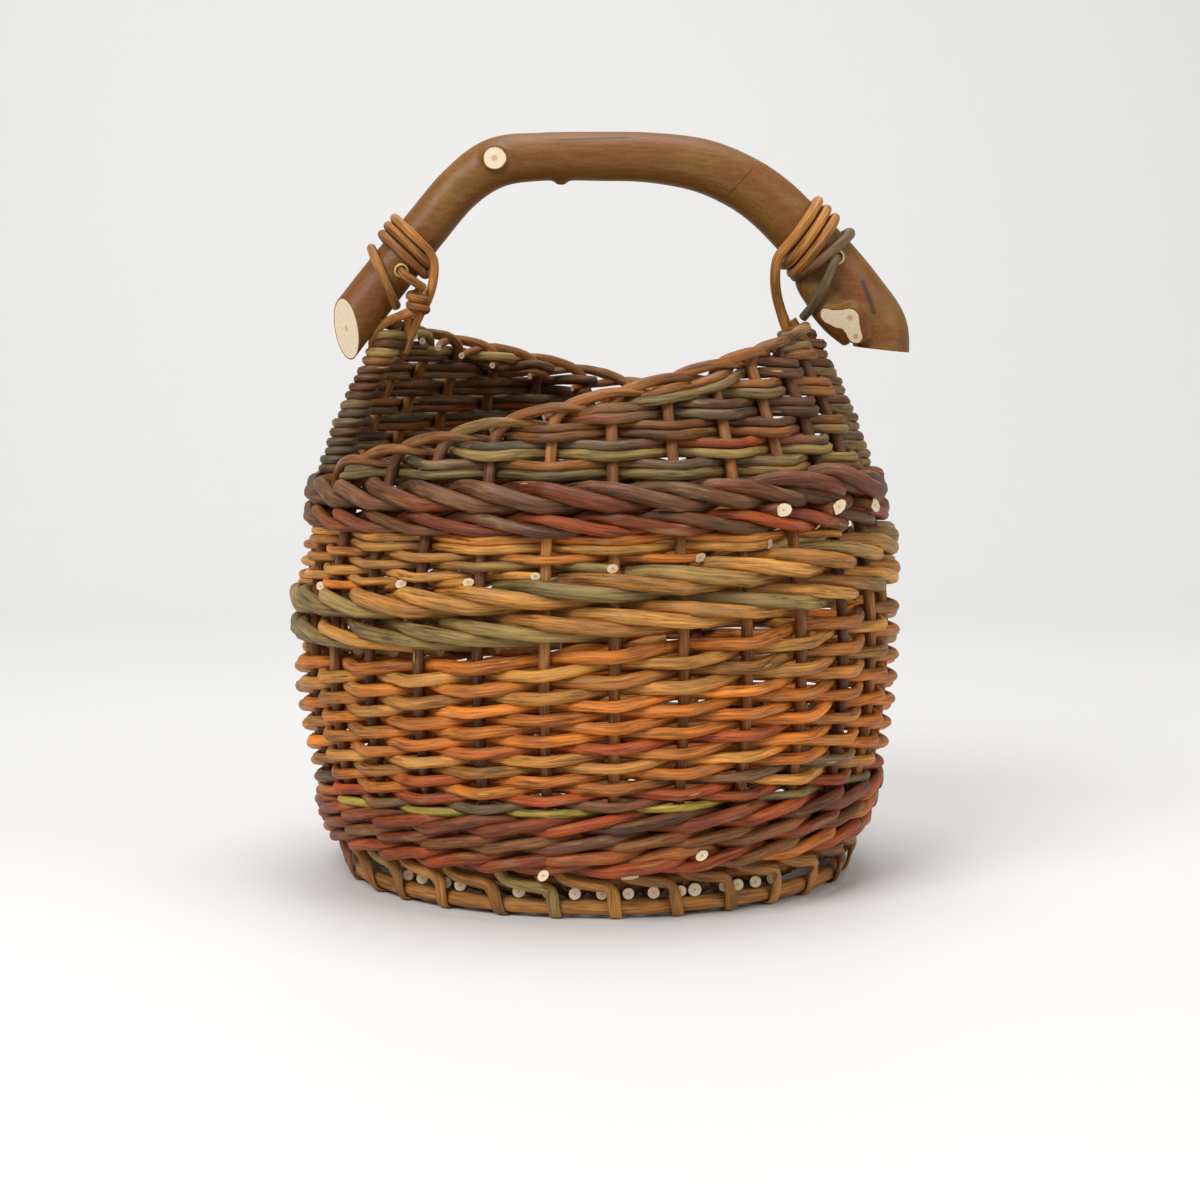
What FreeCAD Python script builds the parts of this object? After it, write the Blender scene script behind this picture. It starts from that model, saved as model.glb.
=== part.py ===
import FreeCAD, Part
import math
import os

V = FreeCAD.Vector

# A round willow basket: a framed base, upright stakes, bands of weave, two ramped wings and a branch handle.
# Millimetres. The origin is the middle of the base on the floor, +X runs along the handle, +Z is up.

# Rods
stake_count = 28
stake_rod = 5.6
hoop_rod = 7.6
top_hoop_rod = 6.0
stick_rod = 5.8
floor_weaver_rod = 4.0
upset_weaver_rod = 7.0
rand_weaver_rod = 7.0
thin_weaver_rod = 4.4
mid_wale_weaver_rod = 7.8
wing_weaver_rod = 4.3
border_rod = 8.0
left_lash_rod = 4.4
right_lash_rod = 5.2
peg_rod = 4.9

# Clearances
weave_gap = 0.3
peg_gap = 0.3
lash_gap = 0.5
row_gap = 0.6
cut_overrun = 60.0

# The wall's middle line, an arc through the foot, the belly and the peak
belly_radius = 149.5
hoop_inset = 22.0
foot_flare = 4.0
mouth_inset = 52.0
foot_height = 20.0
belly_share = 0.412
peak_lift = 2.0

# Bands of weave: height at the middle, and the upper edge's rise to the right and to the front at the belly
upset_band = 23.8
upset_top_rise_right = 6.0
upset_top_rise_front = 8.0
rand_band = 119.0
rand_top_rise_right = 14.0
rand_top_rise_front = 5.0
thin_band = 19.5
thin_top_rise_right = 1.0
thin_top_rise_front = 5.0
mid_wale_band = 21.5
mid_wale_top_rise_right = 1.0
mid_wale_top_rise_front = 5.0

# Rows of rods in each band, and heights of single rows; the side's upper edge is a band of thick butts
upset_rows = 6
rand_rows = 16
butt_band = 35.0
butt_rows = 6
thin_row = 4.6
mid_wale_rows = 4
wing_row = 4.65
wing_strands = 2

# The ramps that the two wings climb, from a low end to a peak
rim_low_lift = 2.5
rim_climb = 75.5
rim_climb_power = 1.2
border_start_share = 0.04
border_end_share = 0.955
border_spans = 10
wing_start_stakes = 1.0
wing_turn_share = 0.3

# Base
top_hoop_inset = 2.9
floor_inset = 6.5
stick_overhang = 3.3
stick_place_shares = (
    -0.82, -0.762, -0.666, -0.607, -0.486, -0.372, -0.256, -0.149, -0.041, 0.066,
    0.169, 0.281, 0.339, 0.464, 0.522, 0.6, 0.678,
)
tongue_thickness = 1.6
tongue_width = 6.2
tongue_hook = 4.5
tongue_rise = 6.0
stake_drop = 2.2

# Handle: places along its middle line, as shares of its half length and of its rise over the hinge line
handle_overhang = 52.5
overhang_share = 0.35
bend_share = 0.47
handle_rise = 80.6
branch_radius = 12.4
hinge_lift = 6.0
left_leg_shares = ((-0.592, 0.547), (-0.863, -0.092))
right_leg_shares = ((0.595, 0.68), (0.803, 0.29))
branch_shares = (
    (-0.937, -0.2665, 1.02),
    left_leg_shares[1] + (1.0,),
    (-0.7275, 0.2275, 1.0),
    left_leg_shares[0] + (1.0,),
    (-0.47, 0.805, 0.98),
    (-0.34, 0.962, 1.0),
    (-0.19, 0.997, 1.0),
    (0.01, 1.0, 1.02),
    (0.18, 0.99, 1.0),
    (0.353, 0.93, 1.02),
    (0.491, 0.82, 1.01),
    right_leg_shares[0] + (1.0,),
    (0.699, 0.485, 1.0),
    right_leg_shares[1] + (1.0,),
    (0.907, 0.08, 1.14),
    (0.976, -0.09, 1.17),
    (0.99, -0.28, 1.15),
)
left_cut_share = left_leg_shares[1]
left_cut_normal = (-0.84, -0.47, -0.25)
right_cut_drop = 19.0

# Side stub, knot and nub that are cut off on the branch
stub_root_share = (0.92, 0.09)
stub_tip_share = (0.835, -0.09)
stub_reach = 15.5
stub_root_radius = 13.2
stub_tip_radius = 9.0
knot_share = (-0.357, 0.967)
knot_radius = 6.2
knot_height = 1.4
nub_share = (-0.123, 0.87)
nub_radius = 2.6
nub_height = 3.4

# Lashings: how far down a leg of the branch the winding starts, and the clear space between the rods
left_wrap_drop = 4.6
left_wrap_turns = 3
left_turn_gap = 0.5
left_peg_clear = 2.15
left_peg_inset = 2.3
left_hairpin_clear = 2.45
left_leg_slope = 0.577
right_wrap_drop = 14.8
right_wrap_turns = 3
right_turn_gap = 0.8
right_hairpin_clear = 0.7
right_peg_clear = 0.45
right_peg_inset = -6.3
right_leg_slope = 0.0
wrap_start_angle = 30.0
wrap_leave_angle = 60.0
leg_run = 10.0
hairpin_leg = 12.0
peg_stand_out = 4.0

# Worked out from the sizes above
half_turn = 180.0
stake_pitch = 2 * half_turn / stake_count
half_count = stake_count // 2
stake_radius = stake_rod / 2
hoop_height = tongue_thickness + weave_gap + hoop_rod / 2
stick_height = hoop_height + hoop_rod / 2 + weave_gap + stick_rod / 2
top_hoop_height = stick_height + stick_rod / 2 + weave_gap + top_hoop_rod / 2
upset_low_height = top_hoop_height + top_hoop_rod / 2 + weave_gap
upset_top_height = upset_low_height + upset_band
rand_top_height = upset_top_height + rand_band
thin_top_height = rand_top_height + thin_band
mid_wale_top_height = thin_top_height + mid_wale_band
rim_low_height = mid_wale_top_height + rim_low_lift
rim_high_height = rim_low_height + rim_climb
hinge_height = rim_high_height + hinge_lift
peak_height = hinge_height + peak_lift
belly_height = foot_height + belly_share * (peak_height - foot_height)
hoop_radius = belly_radius - hoop_inset
foot_radius = hoop_radius + foot_flare
peak_radius = belly_radius - mouth_inset
top_hoop_radius = hoop_radius - top_hoop_inset
floor_radius = hoop_radius - floor_inset
stick_end_radius = hoop_radius + stick_overhang
tongue_top_height = foot_height + tongue_rise
stake_low_height = foot_height - stake_drop
handle_half_length = peak_radius + handle_overhang
left_wrap_pitch = left_lash_rod + left_turn_gap
right_wrap_pitch = right_lash_rod + right_turn_gap
left_last_turn = left_wrap_drop + left_wrap_pitch * (left_wrap_turns - wrap_start_angle / 360)
right_last_turn = right_wrap_drop + right_wrap_pitch * (right_wrap_turns - wrap_start_angle / 360)
left_peg_drop = left_last_turn + (left_lash_rod + peg_rod) / 2 + left_peg_clear
left_hairpin_drop = left_peg_drop + (left_lash_rod + peg_rod) / 2 + left_hairpin_clear
right_hairpin_drop = right_last_turn + right_lash_rod + right_hairpin_clear
right_peg_drop = right_hairpin_drop + (right_lash_rod + peg_rod) / 2 + right_peg_clear
big = 4 * belly_radius

os.makedirs("parts", exist_ok=True)


def save(name, shape):
    if not shape.isValid():
        raise ValueError(name + " is not a valid solid")
    shape.exportStep("parts/" + name + ".step")
    print(name, "solids", len(shape.Solids), "volume", round(shape.Volume, 1))


def circle_through(p, q, r):
    """Centre and radius of the circle through three (radius, height) points."""
    edge = Part.Arc(V(p[0], 0, p[1]), V(q[0], 0, q[1]), V(r[0], 0, r[1])).toShape()
    return edge.Curve.Center.x, edge.Curve.Center.z, edge.Curve.Radius


arc_x, arc_z, arc_radius = circle_through(
    (foot_radius, foot_height), (belly_radius, belly_height), (peak_radius, peak_height)
)


def arc_angle(height):
    """Angle on the wall's arc at a height, from level, in degrees."""
    return math.degrees(math.asin((height - arc_z) / arc_radius))


def wall_point(angle, offset=0.0):
    """A point of the wall's section at an angle on its arc, moved out by an offset."""
    a = math.radians(angle)
    return V(arc_x + (arc_radius + offset) * math.cos(a), 0, arc_z + (arc_radius + offset) * math.sin(a))


def middle_radius(height):
    return wall_point(arc_angle(height)).x


def around(shape, angle):
    """A copy turned about the basket's axis."""
    turned = shape.copy()
    turned.rotate(V(0, 0, 0), V(0, 0, 1), angle)
    return turned


def wall_section(half_thickness, low, high):
    """The wall's section between two heights, half_thickness to each side of its middle line."""
    a, b = arc_angle(low), arc_angle(high)
    mid = (a + b) / 2
    outer = Part.Arc(*[wall_point(k, half_thickness) for k in (a, mid, b)]).toShape()
    inner = Part.Arc(*[wall_point(k, -half_thickness) for k in (b, mid, a)]).toShape()
    top = Part.makeLine(wall_point(b, half_thickness), wall_point(b, -half_thickness))
    bottom = Part.makeLine(wall_point(a, -half_thickness), wall_point(a, half_thickness))
    return Part.Face(Part.Wire([outer, top, inner, bottom]))


def bent_rod(radius, low_angle, high_angle):
    """A round rod along the wall's arc, in the plane of +X."""
    ring = Part.Circle(wall_point(low_angle), V(0, 0, 1), radius)
    a = math.radians(low_angle)
    ring.Axis = V(-math.sin(a), 0, math.cos(a))
    face = Part.Face(Part.Wire(ring.toShape()))
    return face.revolve(V(arc_x, 0, arc_z), V(0, -1, 0), high_angle - low_angle)


def half_space(height, rise_right, rise_front, above):
    """A large block over or under a tilted level."""
    block = Part.makeBox(big, big, big, V(-big / 2, -big / 2, 0 if above else -big))
    normal = V(-rise_right / belly_radius, rise_front / belly_radius, 1)
    block.Placement = FreeCAD.Placement(V(0, 0, height), FreeCAD.Rotation(V(0, 0, 1), normal))
    return block


def level_at(level, place):
    """Height of a tilted level over a place."""
    return level[0] + level[1] * place.x / belly_radius - level[2] * place.y / belly_radius


def level_between(low, high, share):
    return tuple(a + (b - a) * share for a, b in zip(low, high))


def row_of_rods(low, high, weaver_rod, in_front):
    """One row between two levels: a rod that zigzags in front of some stakes and behind the others."""
    outer, inner = [], []
    for k in range(stake_count):
        way = math.radians(k * stake_pitch)
        ray = V(math.cos(way), math.sin(way), 0)
        at_wall = ray * middle_radius(low[0])
        height = level_at(level_between(low, high, 0.5), at_wall)
        lean = math.radians(abs(arc_angle(height)))
        near = (stake_radius + row_gap) / math.cos(lean)
        near += math.tan(lean) * (level_at(high, at_wall) - level_at(low, at_wall)) / 2
        far = (stake_radius + weaver_rod) / math.cos(lean)
        sides = (near, far) if in_front(k) else (-far, -near)
        inner.append(ray * (middle_radius(height) + sides[0]))
        outer.append(ray * (middle_radius(height) + sides[1]))
    wires = [Part.makePolygon(points + points[:1]) for points in (outer, inner)]
    ring = Part.makeFace(wires, "Part::FaceMakerBullseye").extrude(V(0, 0, peak_height))
    return ring.cut(half_space(*low, above=False)).cut(half_space(*high, above=True))


def woven_rows(weaver_rod, low, high, count, front_run, shift, strands=1):
    """Rows between two levels, each in front of front_run stakes and behind one, shift stakes on from the last.

    Strands are neighbouring rods that run together.
    """
    rows = []
    for row in range(count):
        edges = [level_between(low, high, (row + k) / count) for k in (0, 1)]
        start = shift * (row // strands)
        rows.append(row_of_rods(*edges, weaver_rod, lambda k: (k - start) % (front_run + 1) < front_run))
    return rows


def joined(rows):
    """The rows as one piece: they touch where they cross between the stakes."""
    return rows[0].multiFuse(rows[1:])


def lifted(level):
    return (level[0] + weave_gap,) + tuple(level[1:])


upset_top = (upset_top_height, upset_top_rise_right, upset_top_rise_front)
rand_top = (rand_top_height, rand_top_rise_right, rand_top_rise_front)
thin_top = (thin_top_height, thin_top_rise_right, thin_top_rise_front)
mid_wale_top = (mid_wale_top_height, mid_wale_top_rise_right, mid_wale_top_rise_front)


def ramp_height(share):
    """Height of the border's middle line, at a share of the half turn from the low end to the peak."""
    s = min(max(share, 0.0), 1.0)
    return rim_low_height + (rim_high_height - rim_low_height) * math.sin(math.pi / 2 * s**rim_climb_power)


def wing_top(share):
    return ramp_height(share) - border_rod / 2 - weave_gap


def ramp_cover():
    """The wall's place under the ramp that climbs to the +X peak."""
    start = wing_start_stakes * stake_pitch
    half_thickness = stake_radius + wing_weaver_rod + border_rod
    section = wall_section(half_thickness, mid_wale_top_height - border_rod, peak_height)
    cover = around(section, half_turn + start).revolve(
        V(0, 0, 0), V(0, 0, 1), half_turn - start + wing_turn_share * stake_pitch
    )
    spokes = []
    for k in range(half_count + 2):
        way = math.radians(half_turn + k * stake_pitch)
        ray = V(math.cos(way), math.sin(way), 0)
        lift = V(0, 0, wing_top(k / half_count))
        near, far = ray * (peak_radius / 2) + lift, ray * (belly_radius + cut_overrun) + lift
        spokes.append(Part.Wire(Part.makeLine(near, far)))
    over = Part.makeLoft(spokes, False, False).extrude(V(0, 0, big))
    return cover.cut(over)


def wings():
    """The front and the back wing: rows of paired rods over the middle wale, cut off along the ramps."""
    count = math.ceil((rim_high_height - mid_wale_top_height) / wing_row)
    low = lifted(mid_wale_top)
    high = (low[0] + count * wing_row,) + low[1:]
    rows = joined(woven_rows(wing_weaver_rod, low, high, count, 1, 1, wing_strands))
    cover = ramp_cover()
    return [largest(rows.common(around(cover, turn))) for turn in (0, half_turn)]


def largest(shape):
    """The main solid, without the crumbs that a slanting cut leaves of a row's last turn."""
    solids = sorted(shape.Solids, key=lambda solid: solid.Volume)
    print("crumbs", [round(solid.Volume, 1) for solid in solids[:-1]])
    return solids[-1]


def biarc(p0, t0, p1, t1):
    """Two arcs that leave p0 along t0 and reach p1 along t1."""
    v, t = p1 - p0, t0 + t1
    k = 2 * (1 - t0.dot(t1))
    if k < 1e-9:
        d = v.dot(v) / (4 * v.dot(t1))
    else:
        d = (-v.dot(t) + math.sqrt(v.dot(t) ** 2 + k * v.dot(v))) / k
    q = (p0 + p1 + (t0 - t1) * d) * 0.5
    return [arc_from(p0, t0, q), arc_from(p1, t1 * -1, q)]


def arc_from(p, t, q):
    """The arc that leaves p along t and ends at q, or a line where they are in line."""
    chord = q - p
    along = V(chord).normalize()
    side = t - along * t.dot(along)
    if side.Length < 1e-6:
        return Part.makeLine(p, q)
    rise = chord.Length / 2 * math.tan(math.atan2(side.Length, t.dot(along)) / 2)
    return Part.Arc(p, (p + q) * 0.5 + V(side).normalize() * rise, q).toShape()


def tube(edges, rod, start, direction):
    """A round rod along a path of lines and tangent arcs."""
    path = Part.Wire(Part.__sortEdges__(edges))
    ring = Part.Wire(Part.Circle(start, direction, rod / 2).toShape())
    solid = path.makePipeShell([ring], True, False)
    share = solid.Volume / (math.pi * rod**2 / 4 * path.Length)
    print("tube volume over section times length", round(share, 4))
    return solid


def unit(x, y, z):
    return V(x, y, z).normalize()


def border():
    """The rolled border on a wing's ramp, up to the +X peak."""

    def place(share):
        turn = math.radians(half_turn * (1 + share))
        height = ramp_height(share)
        radius = middle_radius(height)
        return V(radius * math.cos(turn), radius * math.sin(turn), height)

    def heading(share):
        step = (border_end_share - border_start_share) / border_spans / border_spans
        return (place(share + step) - place(share - step)).normalize()

    step = (border_end_share - border_start_share) / border_spans
    shares = [border_start_share + step * k for k in range(border_spans + 1)]
    edges = []
    for a, b in zip(shares, shares[1:]):
        edges += biarc(place(a), heading(a), place(b), heading(b))
    return tube(edges, border_rod, place(shares[0]), heading(shares[0]))


def stake(number):
    """An upright stake, with its shaved tongue hooked under the hoop."""
    share = (number % half_count) / half_count
    if number % half_count == 0:
        high = arc_angle(hinge_height) - math.degrees((lash_end_radius(number) + weave_gap) / arc_radius)
    else:
        high = arc_angle(wing_top(share)) - math.degrees(weave_gap / arc_radius)
    upright = bent_rod(stake_radius, arc_angle(stake_low_height), high)
    return around(upright.fuse(tongue()).removeSplitter(), number * stake_pitch)


def lash_end_radius(number):
    return (right_lash_rod if number == 0 else left_lash_rod) / 2


def tongue():
    """The shaved end of a stake: down outside the hoop and under it, flat where it stands."""
    inner = hoop_rod / 2 + weave_gap
    outer = inner + tongue_thickness
    slant = math.sqrt(0.5)
    x, z = hoop_radius, hoop_height
    points = {
        "top_out": V(x + outer, 0, tongue_top_height),
        "side_out": V(x + outer, 0, z),
        "low_out": V(x, 0, z - outer),
        "hook_out": V(x - tongue_hook, 0, z - outer),
        "hook_in": V(x - tongue_hook, 0, z - inner),
        "low_in": V(x, 0, z - inner),
        "side_in": V(x + inner, 0, z),
        "top_in": V(x + inner, 0, tongue_top_height),
    }
    round_out = Part.Arc(
        points["side_out"], V(x + outer * slant, 0, z - outer * slant), points["low_out"]
    ).toShape()
    round_in = Part.Arc(
        points["low_in"], V(x + inner * slant, 0, z - inner * slant), points["side_in"]
    ).toShape()
    edges = [
        Part.makeLine(points["top_out"], points["side_out"]),
        round_out,
        Part.makeLine(points["low_out"], points["hook_out"]),
        Part.makeLine(points["hook_out"], points["hook_in"]),
        Part.makeLine(points["hook_in"], points["low_in"]),
        round_in,
        Part.makeLine(points["side_in"], points["top_in"]),
        Part.makeLine(points["top_in"], points["top_out"]),
    ]
    face = Part.Face(Part.Wire(edges))
    face.translate(V(0, -tongue_width / 2, 0))
    return face.extrude(V(0, tongue_width, 0))


def base_sticks(extra=0.0):
    """Straight sticks across the base, from front to back, resting on the hoop."""
    sticks = []
    for share in stick_place_shares:
        x = share * floor_radius
        reach = math.sqrt(stick_end_radius**2 - (abs(x) + stick_rod / 2) ** 2)
        sticks.append(
            Part.makeCylinder(stick_rod / 2 + extra, 2 * reach, V(x, -reach, stick_height), V(0, 1, 0))
        )
    return sticks


def base_weave():
    thickness = stick_rod + 2 * floor_weaver_rod
    disc = Part.makeCylinder(floor_radius, thickness, V(0, 0, stick_height - thickness / 2))
    return disc.cut(base_sticks(weave_gap))


def on_handle(share):
    """A place on the handle's middle plane. The legs keep to the peaks, and the bow between them stretches."""
    reach = max(abs(share[0]), bend_share)
    place = handle_half_length - handle_overhang / overhang_share * (1 - reach)
    return V(place * share[0] / reach, 0, hinge_height + share[1] * handle_rise)


def leg_frame(outward):
    """Top of the handle's leg on one side, the direction down it, and the direction to its inner side."""
    high, low = [on_handle(share) for share in (right_leg_shares if outward > 0 else left_leg_shares)]
    down = (low - high).normalize()
    return high, down, V(-down.z, 0, down.x) * -outward


def on_leg(outward, drop, inset=0.0):
    high, down, inner = leg_frame(outward)
    return high + down * drop + inner * inset


def branch():
    """The branch, with its sawn ends, cut stub, knot and nub, drilled for the two pegs."""
    line = [on_handle(s) for s in branch_shares]
    rings = []
    for k, place in enumerate(line):
        heading = line[min(k + 1, len(line) - 1)] - line[max(k - 1, 0)]
        ring = Part.Circle(place, heading, branch_radius * branch_shares[k][2])
        rings.append(Part.Wire(ring.toShape()))
    limb = Part.makeLoft(rings, True, False)
    root, tip = on_handle(stub_root_share), on_handle(stub_tip_share) + V(0, -stub_reach, 0)
    limb = limb.fuse(Part.makeCone(stub_root_radius, stub_tip_radius, (tip - root).Length, root, tip - root))
    knot = on_handle(knot_share)
    limb = limb.fuse(Part.makeCylinder(knot_radius, branch_radius + knot_height, knot, V(0, -1, 0)))
    nub = on_handle(nub_share)
    limb = limb.fuse(Part.makeCone(nub_radius + nub_height, nub_radius, 2 * nub_height, nub, V(0, 0, -1)))
    for place in (left_peg_place, right_peg_place):
        limb = limb.cut(Part.makeCylinder(peg_rod / 2 + peg_gap, big, place - V(0, big / 2, 0), V(0, 1, 0)))
    sawn = Part.makeBox(big, big, big, V(-big / 2, -big / 2, 0))
    sawn.Placement = FreeCAD.Placement(
        on_handle(left_cut_share), FreeCAD.Rotation(V(0, 0, 1), V(*left_cut_normal))
    )
    limb = limb.cut(sawn)
    return limb.cut(Part.makeBox(big, big, big, V(0, -big / 2, hinge_height - right_cut_drop - big)))


left_peg_place = on_leg(-1, left_peg_drop, left_peg_inset)
right_peg_place = on_leg(1, right_peg_drop, right_peg_inset)


def wraps(outward, drop, turns, pitch, rod, leg_slope):
    """A winding round the branch, one rod, whose leg ends in a ball on the hinge line."""
    place, down, inner = leg_frame(outward)
    place = place + down * drop
    back = V(0, 1, 0)
    radius = branch_radius + lash_gap + rod / 2
    hinge = V(outward * middle_radius(hinge_height), 0, hinge_height)

    def spot(angle):
        a = math.radians(angle)
        rise = down * (pitch * (angle - wrap_start_angle) / 360)
        return place + rise + back * (radius * math.cos(a)) + inner * (radius * math.sin(a))

    def heading(angle):
        a = math.radians(angle)
        turn = back * (-radius * math.sin(a)) + inner * (radius * math.cos(a))
        return (turn + down * (pitch / (2 * math.pi))).normalize()

    last = wrap_leave_angle + 360 * turns
    quarter_count = 4 * turns
    quarter = (last - wrap_start_angle) / quarter_count
    angles = [wrap_start_angle + quarter * k for k in range(quarter_count + 1)]
    tail = spot(angles[0]) - heading(angles[0]) * rod
    edges = [Part.makeLine(tail, spot(angles[0]))]
    for a, b in zip(angles, angles[1:]):
        edges += biarc(spot(a), heading(a), spot(b), heading(b))
    leg = unit(outward * leg_slope, 0, -1)
    leg_top = hinge - leg * leg_run
    edges += biarc(spot(last), heading(last), leg_top, leg)
    edges.append(Part.makeLine(leg_top, hinge))
    print("least gap between turns", round(least_gap(edges, rod), 2))
    return tube(edges, rod, tail, heading(angles[0])).fuse(Part.makeSphere(rod / 2, hinge))


def least_gap(edges, rod):
    """The least clear distance between stretches of one rod that are not neighbours, measured on points."""
    path = Part.Wire(Part.__sortEdges__(edges))
    points = path.discretize(Distance=rod / 4)
    skip = int(math.pi * rod / (rod / 4))
    least = min(
        (points[i] - points[j]).Length
        for i in range(len(points))
        for j in range(i + skip, len(points))
    )
    return least - rod


def hairpin(outward, drop, rod):
    """A rod bent over the branch, with two straight legs on the inner side."""
    place, inner, back = on_leg(outward, drop), leg_frame(outward)[2], V(0, 1, 0)
    radius = branch_radius + lash_gap + rod / 2
    front_top, back_top = place - back * radius, place + back * radius
    arch = Part.Arc(front_top, place - inner * radius, back_top).toShape()
    edges = [
        Part.makeLine(front_top + inner * hairpin_leg, front_top),
        arch,
        Part.makeLine(back_top, back_top + inner * hairpin_leg),
    ]
    return tube(edges, rod, front_top + inner * hairpin_leg, inner * -1)


def peg(place):
    reach = branch_radius + peg_stand_out
    return Part.makeCylinder(peg_rod / 2, 2 * reach, place - V(0, reach, 0), V(0, 1, 0))


def base_ring(radius, rod, height):
    return Part.makeTorus(radius, rod / 2, V(0, 0, height))


save("base_hoop", base_ring(hoop_radius, hoop_rod, hoop_height))
save("base_sticks", Part.makeCompound(base_sticks()))
save("base_weave", base_weave())
save("base_top_hoop", base_ring(top_hoop_radius, top_hoop_rod, top_hoop_height))
for index in range(stake_count):
    save("stake_%02d" % (index + 1), stake(index))
upset_low = (upset_low_height, 0, 0)
save("upset_wale", joined(woven_rows(upset_weaver_rod, upset_low, upset_top, upset_rows, 2, 1)))
butt_low = (rand_top_height - butt_band,) + rand_top[1:]
side_rows = woven_rows(rand_weaver_rod, lifted(upset_top), butt_low, rand_rows, 1, 1)
side_rows += woven_rows(rand_weaver_rod, butt_low, rand_top, butt_rows, 2, -1)
save("side_rand", joined(side_rows))
thin_count = math.ceil((thin_band + abs(rand_top_rise_right - thin_top_rise_right)) / thin_row)
thin_low = (thin_top_height - thin_count * thin_row,) + thin_top[1:]
thin_rows = joined(woven_rows(thin_weaver_rod, thin_low, thin_top, thin_count, 1, 1))
save("thin_rand", largest(thin_rows.cut(half_space(*lifted(rand_top), above=False))))
wale_rows = woven_rows(mid_wale_weaver_rod, lifted(thin_top), mid_wale_top, mid_wale_rows, 2, -1)
save("middle_wale", joined(wale_rows))
front_wing, back_wing = wings()
save("front_wing_weave", front_wing)
save("back_wing_weave", back_wing)
front_border = border()
save("front_border", front_border)
save("back_border", around(front_border, half_turn))
save("handle_branch", branch())
save("left_wraps", wraps(-1, left_wrap_drop, left_wrap_turns, left_wrap_pitch, left_lash_rod, left_leg_slope))
save("left_hairpin", hairpin(-1, left_hairpin_drop, left_lash_rod))
save("left_peg", peg(left_peg_place))
save(
    "right_wraps",
    wraps(1, right_wrap_drop, right_wrap_turns, right_wrap_pitch, right_lash_rod, right_leg_slope),
)
save("right_hairpin", hairpin(1, right_hairpin_drop, right_lash_rod))
save("right_peg", peg(right_peg_place))
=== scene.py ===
"""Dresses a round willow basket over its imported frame, rod by rod.

The file is laid out as a Blender add-on and is run as a script. Metres, in the frame's own axes:
the origin is the middle of the base on the floor, +X runs along the handle, -Y is the front.
"""

import math

import bmesh
import bpy
import numpy as np
from bpy.props import FloatProperty, FloatVectorProperty, PointerProperty
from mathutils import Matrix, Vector
from mathutils.kdtree import KDTree


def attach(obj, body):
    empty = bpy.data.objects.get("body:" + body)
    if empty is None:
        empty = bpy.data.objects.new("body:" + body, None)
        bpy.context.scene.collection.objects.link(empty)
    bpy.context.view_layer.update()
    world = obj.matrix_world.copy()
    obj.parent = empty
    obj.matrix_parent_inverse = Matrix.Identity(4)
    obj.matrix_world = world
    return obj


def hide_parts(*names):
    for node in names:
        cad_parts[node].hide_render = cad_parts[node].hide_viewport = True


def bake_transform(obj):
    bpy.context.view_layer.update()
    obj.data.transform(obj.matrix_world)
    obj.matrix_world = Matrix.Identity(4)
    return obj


bl_info = {
    "name": "Willow basket",
    "version": (1, 0, 0),
    "blender": (4, 5, 0),
    "location": "View3D > Sidebar > Basket",
    "description": "Weaves a round willow basket over its packed frame",
    "category": "Object",
}

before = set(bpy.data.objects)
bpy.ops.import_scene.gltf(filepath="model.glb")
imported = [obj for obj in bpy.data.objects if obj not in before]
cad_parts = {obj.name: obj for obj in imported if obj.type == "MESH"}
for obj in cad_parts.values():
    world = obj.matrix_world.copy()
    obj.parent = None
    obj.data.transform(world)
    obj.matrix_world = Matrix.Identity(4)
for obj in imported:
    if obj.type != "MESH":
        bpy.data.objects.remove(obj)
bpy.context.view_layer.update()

# The wall: stakes all round it, and its middle line as an arc through three places (radius, height)
STAKES = 28
HALF = STAKES // 2
STEP = 2 * math.pi / STAKES
FRONT_STAKE = 21
FOOT, BELLY, PEAK = (0.1315, 0.020), (0.1495, 0.1321), (0.0975, 0.292)

# Edges of the bands of weave: height at the middle, rise to the right, rise to the front
UPSET_LOW = (0.0250, 0.001, 0.001)
UPSET_TOP = (0.046, 0.006, 0.008)
BUTT_LOW = (0.130, 0.014, 0.005)
RAND_TOP = (0.165, 0.014, 0.005)
THIN_TOP = (0.1845, 0.001, 0.005)
WALE_TOP = (0.206, 0.001, 0.005)
RIM_LOW, RIM_HIGH, RIM_POWER = 0.2085, 0.284, 1.2

# The base
HOOP_RADIUS, HOOP_HEIGHT = 0.1275, 0.0057
TOP_HOOP_RADIUS, TOP_HOOP_HEIGHT, TOP_HOOP_THICK = 0.1246, 0.0189, 0.006
HOOP_SAMPLES, HOOP_LAP, HOOP_START, TOP_HOOP_START = 150, 0.22, 2.2, 0.7
FLOOR_RADIUS, FLOOR_EDGE, FLOOR_PITCH, FLOOR_SPACING, FLOOR_ROOM = 0.121, 0.006, 2.14, 0.0042, 0.004
STICK_HEIGHT, STICK_END_RADIUS, STICK_SAMPLES = 0.0127, 0.1308, 24
STICK_SHARES = (
    -0.82, -0.762, -0.666, -0.607, -0.486, -0.372, -0.256, -0.149, -0.041, 0.066,
    0.169, 0.281, 0.339, 0.464, 0.522, 0.6, 0.678,
)

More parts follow.
